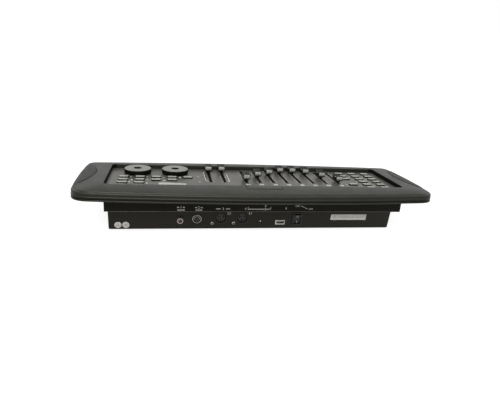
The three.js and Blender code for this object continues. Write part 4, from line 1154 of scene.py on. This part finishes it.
def lettering(text, size, a, b, place, finish=0, lift=0.0):
    """Bold characters of the given font size in mm, centred at (a, b), as one part."""
    curve = bpy.data.curves.new("characters", "FONT")
    curve.body, curve.size, curve.extrude, curve.offset = text, size, INK_TOP, 0.022 * size
    curve.align_x, curve.align_y, curve.resolution_u = "CENTER", "CENTER", 2
    carrier = add_object("characters", curve)
    mesh = bpy.data.meshes.new_from_object(carrier)
    work = bmesh.new()
    work.from_mesh(mesh)
    bmesh.ops.remove_doubles(work, verts=work.verts, dist=1e-5)
    bmesh.ops.triangulate(work, faces=work.faces)
    points = np.array([vert.co for vert in work.verts]) + [a, b, lift]
    triangles = np.array([[vert.index for vert in face.verts] for face in work.faces])
    work.free()
    bpy.data.objects.remove(carrier)
    bpy.data.meshes.remove(mesh)
    return place(points), [triangles], finish


print("ink stands", INK_TOP, "mm proud")

# %% [markdown]
# Every slot has a black edge, painted shade that widens its dark line, and a scale of
# eleven ticks on both sides, and the eight channel faders a white oval with a number at
# the slot's rear end. The fixture keys have numbers beside them and the scene keys a short
# bar. A thin black frame round every key is painted shade that makes its cut-out look deeper.

# %% Marks on the panel
flat = on_panel(0, 0)
panel_ink = []
OVAL_U, KEY_MARK_OFFSET, LINE_WIDTH = 51.4, 9.6, 0.9
SLOT_SHADE_EDGE, SLOT_LENGTH = 1.45, 66
TICKS, TICK_START, TICK_WIDTH, LONG_TICK, SHORT_TICK = 11, 3.2, 0.35, 2.6, 1.5
oval = stacked([(3.4, 2.6, 2.5, -INK_TOP), (3.4, 2.6, 2.5, INK_TOP)])
for i, x in enumerate(list(FADER_XS.values())[:FADER_COUNT]):
    panel_ink.append(part(oval, on_panel(x, OVAL_U)))
    panel_ink.append(lettering(str(i + 1), 3.6, x, OVAL_U, flat, 1, 0.04))
# Each slot gets two black bars, painted shade that widens its dark line, and its ticks.
for x in FADER_XS.values():
    panel_ink += [part(ink_bar(x + side * SLOT_SHADE_EDGE, FADER_MIDDLE, LINE_WIDTH, SLOT_LENGTH), flat, 1)
                  for side in (-1, 1)]
    for tick in range(TICKS):
        u = FADER_MIDDLE + (tick / (TICKS - 1) - 0.5) * FADER_TRAVEL
        length = LONG_TICK if tick % 5 == 0 else SHORT_TICK
        panel_ink += [part(ink_bar(x + side * (TICK_START + length / 2), u, length, TICK_WIDTH), flat)
                      for side in (-1, 1)]
for number, (x, u) in enumerate(list(KEYS.values())[:12]):
    panel_ink.append(lettering(str(number + 1), 3.0, x + KEY_MARK_OFFSET, u, flat))
for x, u in list(KEYS.values())[12:16]:
    panel_ink.append(part(ink_bar(x + KEY_MARK_OFFSET, u, 3.4, LINE_WIDTH), flat))
# A black frame round each key: painted shade that makes its cut-out look deeper.
key_shade_frame = stacked([(KEY_HALF + grow, KEY_LENGTH_HALF + grow, KEY_CORNER + grow, h)
                     for grow, h in ((0.3, -INK_TOP), (1.1, -INK_TOP), (1.1, INK_TOP), (0.3, INK_TOP))])
panel_ink += [part(key_shade_frame, on_panel(x, u), 1, closed=True) for x, u in KEYS.values()]
brackets = [((76.1, -14.4), (76.9, 34.1)), ((41.6, -4.6), (41.4, 37.6))]
for (x0, u0), (x1, u1) in brackets:
    panel_ink.append(part(ink_bar((x0 + x1) / 2, (u0 + u1) / 2, abs(u1 - u0), LINE_WIDTH, 90), flat))
    panel_ink.append(part(ink_bar(x1 + (1.2 if x1 < 50 else -1.2), u1, 3.2, LINE_WIDTH), flat))
for x0, x1, u in ((61.0, 80.8, 64.4), (43.8, 56.7, 63.6)):
    panel_ink.append(part(ink_bar((x0 + x1) / 2, u, x1 - x0, 0.8), flat))
for u in (14.4, 41.4):
    panel_ink.append(part(ink_ring(86.0, u, 1.3, 0.1), flat, closed=True))
marks = fit(make_piece("panel_print", panel_ink, [ink, black_ink_and_shade], 30), "desk")
print("marks on the panel:", len(panel_ink))

# %% Small lamps between the buttons
LAMP_PLACES = [(184, 20.5, 1), (182, 36.6, 0), (184.6, 47, 0), (161, 19, 1), (160.4, 34, 0),
               (160.6, 53.5, 0), (137, 21.8, 1), (136.4, 38.5, 0), (113.6, 20.4, 0)]
lamp_dome = turned([(1.5, -1.0), (1.5, 0.25), (1.42, 0.55), (1.2, 0.85), (0.85, 1.08),
                    (0.45, 1.2), (0.1, 1.24)], 24)
lamps = [part(lamp_dome, on_panel(x, u), tint) for x, u, tint in LAMP_PLACES]
fit(make_piece("indicator_lamps", lamps, [lamp_clear, lamp_green], 50), "desk")
print("lamps:", len(lamps))

# %% [markdown]
# ## Sockets in the rear wall
#
# The imported sockets already have true holes, so all but the first, which is drawn whole,
# are softened copies too. Added to them are what a plug touches, a nickel shield, contact
# sleeves in the holes and gilt springs, and the screws of the three-pin sockets. The deep
# groove round a three-pin nose lies in its own shadow, so faces past the shallow recess
# are painted near-black as that shade.

# %% Round sockets: copies, shields and sleeves
PAST_RECESS, PIN_CIRCLE_5, PIN_CIRCLE_3 = 1.5, 3.8, 4.4
rca, midi = (113.7, 14.5), (89.5, 16.0)
xlrs = {"xlr_socket_1": (54.5, 17.7), "xlr_socket_2": (22.7, 17.7)}


def around(place, radius, angle):
    """The place, moved round a circle about it: a by r cos t and b by r sin t."""
    return lambda p: place(p + [radius * math.cos(angle), radius * math.sin(angle), 0])


def sleeve(outer, inner, low, high):
    """A thin tube with a rounded mouth, closed on itself."""
    lip = (outer - inner) / 2
    return turned([(outer, low), (outer, high - lip), (outer - lip / 2, high),
                   (inner + lip / 2, high), (inner, high - lip), (inner, low)], 24)


def groove_finish(c):
    """1, painted shade, where a face's centre lies past the recess, counted inwards from the wall's face.
    """
    return 1 if c[1] - MIDDLE_Y - REAR_WALL < -PAST_RECESS else 0


rca_at = on_rear_wall(*rca)
nickel_tube = turned([(3.3, -14), (4.2, -14), (4.2, 3.75), (4.05, 4.0), (3.45, 4.0), (3.3, 3.7)], 64)
black_collar = turned([(4.2, -1.5), (4.7, -1.5), (4.75, 0.2), (5.9, 0.2), (6.0, 0.35), (6.0, 1.1),
                       (5.8, 1.3), (4.2, 1.3)], 64)
red_insulator = turned([(1.7, -13), (3.3, -13), (3.3, 0.8), (3.1, 1.0), (2.0, 1.0), (1.75, 0.8)], 48)
jack_block = stacked([(4.5, 2.2, 0.3, -15.4), (4.5, 2.2, 0.3, -1.7)]) + [0, -6.3, 0]
rca_parts = [
    part(nickel_tube, rca_at, 0, closed=True),
    part(black_collar, rca_at, 2, closed=True),
    part(red_insulator, rca_at, 1, closed=True),
    part(sleeve(1.7, 1.35, -6.8, 0.6), rca_at, 0, closed=True),
    part(turned([(1.7, -8.0), (1.7, -6.8)], 24), rca_at, 2),
    part(jack_block, rca_at, 2),
]
rca_piece = fit(make_piece("rca_socket", rca_parts, [nickel, red_abs, socket_abs], 35), "desk", "rca_jack")

softened_copy("midi_socket", "din_socket", [socket_abs], 0.12)
midi_at = on_rear_wall(*midi)
pin_angles = np.radians(np.arange(5) * 45.0)
shield = turned([(5.95, -0.85), (6.5, -0.85), (6.5, 0.6), (6.35, 0.75), (6.1, 0.75), (5.95, 0.6)], 64)
din_parts = [part(shield, midi_at, closed=True)]
din_parts += [part(sleeve(0.86, 0.55, -5.5, -0.75), around(midi_at, PIN_CIRCLE_5, t), closed=True)
              for t in pin_angles]
fit(make_piece("din_shield_and_sleeves", din_parts, [nickel], 35), "desk")

for name, centre in xlrs.items():
    softened_copy(name, name.replace("socket", "body"), [socket_abs, painted_shade_abs], 0.25,
                  finish_at=groove_finish)
    where = on_rear_wall(*centre)
    angles = [math.radians(120 * i - 90) for i in range(3)]
    sleeves = [part(sleeve(1.45, 1.15, -9, -1.3), around(where, PIN_CIRCLE_3, t), closed=True)
               for t in angles]
    fit(make_piece(name.replace("socket", "sleeves"), sleeves, [contact_gilt], 35), "desk")
print("round sockets:", 2 + len(xlrs))

# %% [markdown]
# A cross-head screw is a small dome with a cross pressed into it. The dome is a polar
# grid, and its height drops wherever the point lies in either arm of the cross.

# %% Screws beside the round sockets
SCREW_SIDES = 72


def screw_head(radius, rise):
    """h = 0.35 + rise (1 - (r / R)^2.5), less a cross 0.7 mm deep with arms 0.9 mm wide. The
    cross's faces are numbered 1, for black that stands in as painted shade in the recess."""
    r = np.linspace(radius, 0.06, 22)[:, None]
    t = np.linspace(0, 2 * np.pi, SCREW_SIDES, endpoint=False)[None]
    a, b = r * np.cos(t), r * np.sin(t)
    dome = 0.35 + rise * (1 - (r / radius) ** 2.5)
    near_arm = np.minimum(np.abs(a), np.abs(b))
    cross_cut = smooth_step((0.55 - near_arm) / 0.2) * smooth_step((0.6 * radius - r) / 0.3)
    top = np.stack([a, b, dome - 0.7 * cross_cut], axis=-1)
    under = turned([(radius, -0.1)], SCREW_SIDES)
    numbers = np.concatenate([np.zeros(SCREW_SIDES), (cross_cut[1:] > 0.4).ravel(), [0, 1]]).astype(int)
    return np.concatenate([under, top]), numbers


SCREW_PLACES = [(66.8, 8.7), (42.4, 25.2), (35.0, 9.0), (10.8, 25.5)]
screw_rings, screw_finish = screw_head(2.5, 1.0)
screws = [part(screw_rings, on_rear_wall(x, z), screw_finish) for x, z in SCREW_PLACES]
fit(make_piece("socket_screws", screws, [zinc, black_ink_and_shade], 40), "desk")
print("screws:", len(screws))

# %% [markdown]
# The power inlet's pin and the square socket's tongue and foot are part of the packed
# solids, so they get their finish by place: a function looks at where a face's centre lies.

# %% Power inlet and square socket
INLET_X, INLET_Z, PIN_RADIUS = -5.9, 11.4, 1.02
USB_X, USB_Z = -36.2, 10.4
TONGUE_HALF, TONGUE_FOOT, TONGUE_TOP, UNDERSIDE = 5.6, 15.0, 16.5, 11.4


def inlet_finish(c):
    """1, nickel, within the pin's radius of the inlet's axis."""
    return 1 if math.hypot(c[0] - INLET_X, c[2] - FOOT_HEIGHT - INLET_Z) < PIN_RADIUS else 0


def usb_finish(c):
    """1, white, at the tongue; 2, black, below the shell, on its foot and the flare's
    underside; else 0, nickel."""
    if abs(c[0] - USB_X) < TONGUE_HALF and TONGUE_FOOT < c[2] < TONGUE_TOP:
        return 1
    return 2 if c[2] < UNDERSIDE else 0


def under_tongue(a):
    """A spring under the tongue: its length runs into the wall and its top looks down."""
    return lambda p: usb_at(np.stack([p[..., 0] + a, -p[..., 2] + 0.18, p[..., 1] - 5.0], axis=-1))


softened_copy("dc_jack", "power_inlet", [socket_abs, nickel], 0.12, finish_at=inlet_finish)
usb_at = on_rear_wall(USB_X, USB_Z)
softened_copy("usb_socket", "usb_shell", [nickel, white_abs, socket_abs], 0.12, finish_at=usb_finish)
spring = stacked([(0.55, 3.6, 0.1, -0.25), (0.55, 3.6, 0.1, 0.1)])
springs = [part(spring, under_tongue(a)) for a in (-3.4, -1.1, 1.1, 3.4)]
fit(make_piece("usb_contacts", springs, [contact_gilt], 35), "desk")
print("square socket contacts:", len(springs))

# %% [markdown]
# ## Power switch
#
# The rocker's side view is a shallow V over a keel. Only the V is ever seen, but the
# keel fills the well as the real one does. A ring and a bar mark off and on.

# %% Housing and rocker
softened_copy("switch_housing", "switch_frame", [socket_abs], 0.35)
ROCKER_X, ROCKER_Z, ROCKER_PIVOT = -62.2, 16.3, 58.6
ROCKER_TURN = math.radians(9)
HALF_HEIGHT, FACE_OUT, MARK_AT = 8.0, 2.6, 4.3


def rocker_outline():
    """Side view in (b, h) about the pivot: foot, rising flank, rounded tip, V, and back."""
    rise = HALF_HEIGHT * math.tan(ROCKER_TURN)
    tip = FACE_OUT + rise
    upper = np.array([(2.5, -5.0), (7.2, -1.2), (HALF_HEIGHT, tip - 0.7), (HALF_HEIGHT - 0.15, tip - 0.2),
                      (HALF_HEIGHT - 0.6, tip - 0.06), (5.0, FACE_OUT + 5.0 * math.tan(ROCKER_TURN)),
                      (1.2, 2.75), (0.5, 2.64)])
    lower = upper[::-1] * [-1, 1]
    return np.concatenate([upper, lower])


def in_rocker(p):
    """Turned by -9 degrees about its pivot line: the lower half rests pressed in."""
    c, s = math.cos(ROCKER_TURN), math.sin(ROCKER_TURN)
    out = p[..., 2] * c + p[..., 1] * s
    high = -p[..., 2] * s + p[..., 1] * c
    return base_point(ROCKER_X - p[..., 0], ROCKER_PIVOT + out, ROCKER_Z + high)


def on_rocker_half(side):
    """The face of one half: up the slope, square to it out of the face."""
    slope = side * ROCKER_TURN

    def place(p):
        c, s = math.cos(slope), math.sin(slope)
        b = MARK_AT * side + p[..., 1] * c
        h = FACE_OUT + MARK_AT * math.tan(ROCKER_TURN) + p[..., 1] * s + p[..., 2]
        return in_rocker(np.stack([p[..., 0], b, h], axis=-1))

    return place


rocker_parts = [part(swept(rocker_outline(), 5.4, 0.35, 3), in_rocker)]
rocker_parts += [part(ink_ring(0, 0, 1.5, 1.05), on_rocker_half(1), 1, closed=True),
                 part(ink_bar(0, 0, 0.5, 3.0), on_rocker_half(-1), 1)]
rocker = fit(make_piece("rocker", rocker_parts, [cap_abs, ink], 30), "power_rocker", "power_rocker")
print("rocker tips", round(math.degrees(2 * ROCKER_TURN)), "degrees")

# %% [markdown]
# ## Marks and labels at the rear
#
# The band over the sockets carries short white marks. Here they are plain numbers, one
# for each socket, with a line, and ON and OFF over the switch. Along the band's lower edge
# a fine lighter line is a painted highlight. The pale labels on the wall are bare but for
# fine rules.

# %% Numbers over the sockets
band = on_case_rear(0, 0)
rear_ink = []


def band_text(text, size, x, w):
    """Text over a socket at x: a runs towards -X on the rear face."""
    rear_ink.append(lettering(text, size, 0, 0, on_case_rear(x, w)))


for number, (x, w) in enumerate([(113.5, -26.0), (89.0, -26.2), (54.8, -28.0), (23.0, -28.0)]):
    band_text(str(number + 1), 5.2, x, w)
band_text("5", 5.0, -5.9, -23.7)
band_text("6", 5.4, -36.6, -26.8)
band_text("OFF", 4.0, -53.4, -23.6)
band_text("ON", 4.0, -73.5, -28.0)
for x, w in ((113.5, -26.0), (89.0, -26.2)):
    for side in (-1, 1):
        rear_ink.append(part(ink_bar(-x + side * 3.9, w, 3.0, 1.8), band))
for x0, x1, w in ((118.5, 108.5, -29.9), (93.6, 84.4, -29.9), (65, 58.4, -28.0), (51.2, 44.9, -28.0),
                  (19.8, -14, -28.4)):
    rear_ink.append(part(ink_bar(-(x0 + x1) / 2, w, x0 - x1, 1.5), band))
for x in (19.3, -13.5):
    rear_ink.append(part(ink_bar(-x, -26.8, 1.0, 3.4), band))
rear_ink.append(part(ink_ring(5.9, -28.4, 1.7, 0.1), band, closed=True))
rear_ink.append(part(ink_bar(63.5, -25.4, 11.5, 1.0, -24), band))
case_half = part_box("control_panel")[1].x / MM
# A fine pale line along the band's lower edge: a painted highlight.
rear_ink.append(part(ink_bar(0, 0.35 - CASE_DEPTH, 2 * case_half - 1.2, 0.6), band, 1))
marks = fit(make_piece("rear_print", rear_ink, [ink, painted_edge_highlight], 30), "desk")
print("marks at the rear:", len(rear_ink))

# %% Paper labels
LABEL_TOP = 0.12
long_label = stacked(rounded_levels(29.2, 4.85, 0.5, -0.05, LABEL_TOP, 0.03, 1))
label_at = on_rear_wall(-145.2, 18.7)
labels = [part(long_label, label_at)]
labels += [part(ink_bar(a, 0.0, 0.5, 1.5 if i % 5 else 2.2) + [0, 0, LABEL_TOP], label_at, 1)
           for i, a in enumerate(np.linspace(-24, 24, 31))]
for x, z in ((201.0, 6.6), (190.1, 6.6)):
    round_at = on_rear_wall(x, z)
    disc = turned([(4.85, -0.05), (4.85, 0.09), (4.8, LABEL_TOP), (0.2, LABEL_TOP)], 64)
    labels.append(part(disc, round_at))
    labels.append(part(ink_ring(0, 0, 3.6, 3.2) + [0, 0, LABEL_TOP], round_at, 1, closed=True))
    labels += [part(ink_bar(0, b, length, 0.5) + [0, 0, LABEL_TOP], round_at, 1)
               for b, length in ((1.0, 3.2), (0.0, 4.6), (-1.0, 3.2))]
fit(make_piece("paper_labels", labels, [paper, grey_ink], 40), "desk")
print("label parts:", len(labels))

# %% [markdown]
# ## Feet
#
# Four pressed rubber feet, tapered, with a rounded edge and a screw in a deep hollow.

# %% Rubber feet with their screws
foot_profile = [(7.4, -0.02), (7.45, -0.3), (6.75, -3.4), (6.5, -3.85), (6.1, -4.0), (3.6, -4.0),
                (3.3, -3.8), (3.1, -1.6), (0.2, -1.6)]
foot_screw = [(2.4, -1.7), (2.4, -1.9), (2.1, -2.3), (1.4, -2.5), (0.2, -2.55)]
FOOT_NAMES = [f"rubber_foot_{i + 1}" for i in range(4)]
for name in FOOT_NAMES:
    low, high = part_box(name)
    centre = (low + high) / 2 / MM
    where = on_base(centre.x, centre.y - MIDDLE_Y)
    parts = [part(turned(foot_profile, 48), where), part(turned(foot_screw, 32), where, 1)]
    foot = fit(make_piece(name.replace("rubber_foot", "foot"), parts, [foot_rubber, zinc], 40),
               "desk", name)
print("feet:", len(FOOT_NAMES))

# %% [markdown]
# ## Floor, light and surroundings
#
# The photograph is a cut-out on white. The floor and the world are white where the
# camera, a glossy ray or a ray through glass meets them; everything else sees a softer
# grey, so the white background doesn't flood the dark desk with light. For glossy rays the
# floor fades with distance, as a paper sweep of limited size does, and the world darkens
# towards the horizon, which keeps the bezel that looks that way dark. To the camera the
# floor glows a little more than in reflections, so it meets the white world unseen. One
# large soft lamp, high behind the camera, gives the tops their brightness and leaves the
# walls dark.

# %% Floor that is white to the camera


def seen_as_white(tree, mirrored_share):
    """1 for a camera ray or one through glass, a share of 1 for a glossy ray, else 0: the
    highest of the three. The share is a node's output. Also returns the camera's own 0 or 1."""
    path = tree.nodes.new("ShaderNodeLightPath")
    mirrored = add(tree, "ShaderNodeMath", {0: path.outputs["Is Glossy Ray"], 1: mirrored_share},
                   operation="MULTIPLY")
    seen = add(tree, "ShaderNodeMath", {0: path.outputs["Is Camera Ray"], 1: mirrored.outputs["Value"]},
               operation="MAXIMUM")
    seen = add(tree, "ShaderNodeMath", {0: seen.outputs["Value"], 1: path.outputs["Is Transmission Ray"]},
               operation="MAXIMUM")
    return seen.outputs["Value"], path.outputs["Is Camera Ray"]


floor_white, tree, shader, place = new_finish("floor_matt_pale", "#9a9a9a", 0.9, Specular_IOR_Level=0.2)
away = add(tree, "ShaderNodeVectorMath", {0: place}, operation="LENGTH")
near = add(tree, "ShaderNodeMapRange", {"Value": away.outputs["Value"], "From Min": 0.3, "From Max": 0.9,
                                        "To Min": 1.0, "To Max": 0.2})
sees_white, to_camera = seen_as_white(tree, near.outputs["Result"])
brightness = add(tree, "ShaderNodeMapRange", {"Value": to_camera, "To Min": 0.72, "To Max": 0.88})
glow = add(tree, "ShaderNodeEmission", {"Color": (1, 1, 1, 1), "Strength": brightness.outputs["Result"]})
lit = add(tree, "ShaderNodeAddShader")
tree.links.new(shader.outputs["BSDF"], lit.inputs[0])
tree.links.new(glow.outputs["Emission"], lit.inputs[1])
choice = add(tree, "ShaderNodeMixShader", {"Fac": sees_white})
tree.links.new(shader.outputs["BSDF"], choice.inputs[1])
tree.links.new(lit.outputs["Shader"], choice.inputs[2])
surface = next(node for node in tree.nodes if node.type == "OUTPUT_MATERIAL")
tree.links.new(choice.outputs["Shader"], surface.inputs["Surface"])

FLOOR_HALF = 20
floor_corners = [(a * FLOOR_HALF, b * FLOOR_HALF, 0) for a, b in ((-1, -1), (1, -1), (1, 1), (-1, 1))]
floor_mesh = bpy.data.meshes.new("floor")
floor_mesh.from_pydata(floor_corners, [], [(0, 1, 2, 3)])
floor_mesh.materials.append(floor_white)
floor = add_object("floor", floor_mesh)
print("floor laid,", 2 * FLOOR_HALF, "m wide")

# %% World and lamp
world = bpy.data.worlds.new("white_room")
bpy.context.scene.world = world
world.use_nodes = True
tree = world.node_tree
backdrop = next(node for node in tree.nodes if node.type == "BACKGROUND")
direction = tree.nodes.new("ShaderNodeTexCoord").outputs["Generated"]
toward = add(tree, "ShaderNodeSeparateXYZ", {"Vector": direction})
above = add(tree, "ShaderNodeMapRange", {"Value": toward.outputs["Z"], "From Min": 0.0, "From Max": 0.13,
                                         "To Min": 0.1, "To Max": 1.0})
seen, _ = seen_as_white(tree, above.outputs["Result"])
strength = add(tree, "ShaderNodeMapRange", {"Value": seen, "To Min": 0.3, "To Max": 1.0})
backdrop.inputs["Color"].default_value = (1, 1, 1, 1)
tree.links.new(strength.outputs["Result"], backdrop.inputs["Strength"])


def soft_sun(name, toward, width_in_degrees, strength):
    """A sun that shines from a direction; the wider it is, the softer its shadows."""
    light = bpy.data.lights.new(name, "SUN")
    light.angle, light.energy = math.radians(width_in_degrees), strength
    lamp = add_object(name, light)
    lamp.rotation_euler = Vector(toward).to_track_quat("Z", "Y").to_euler()


soft_sun("high_soft_lamp", (0.15, 0.8, 1.0), 38, 2.5)
bpy.context.scene.view_settings.view_transform = "Standard"
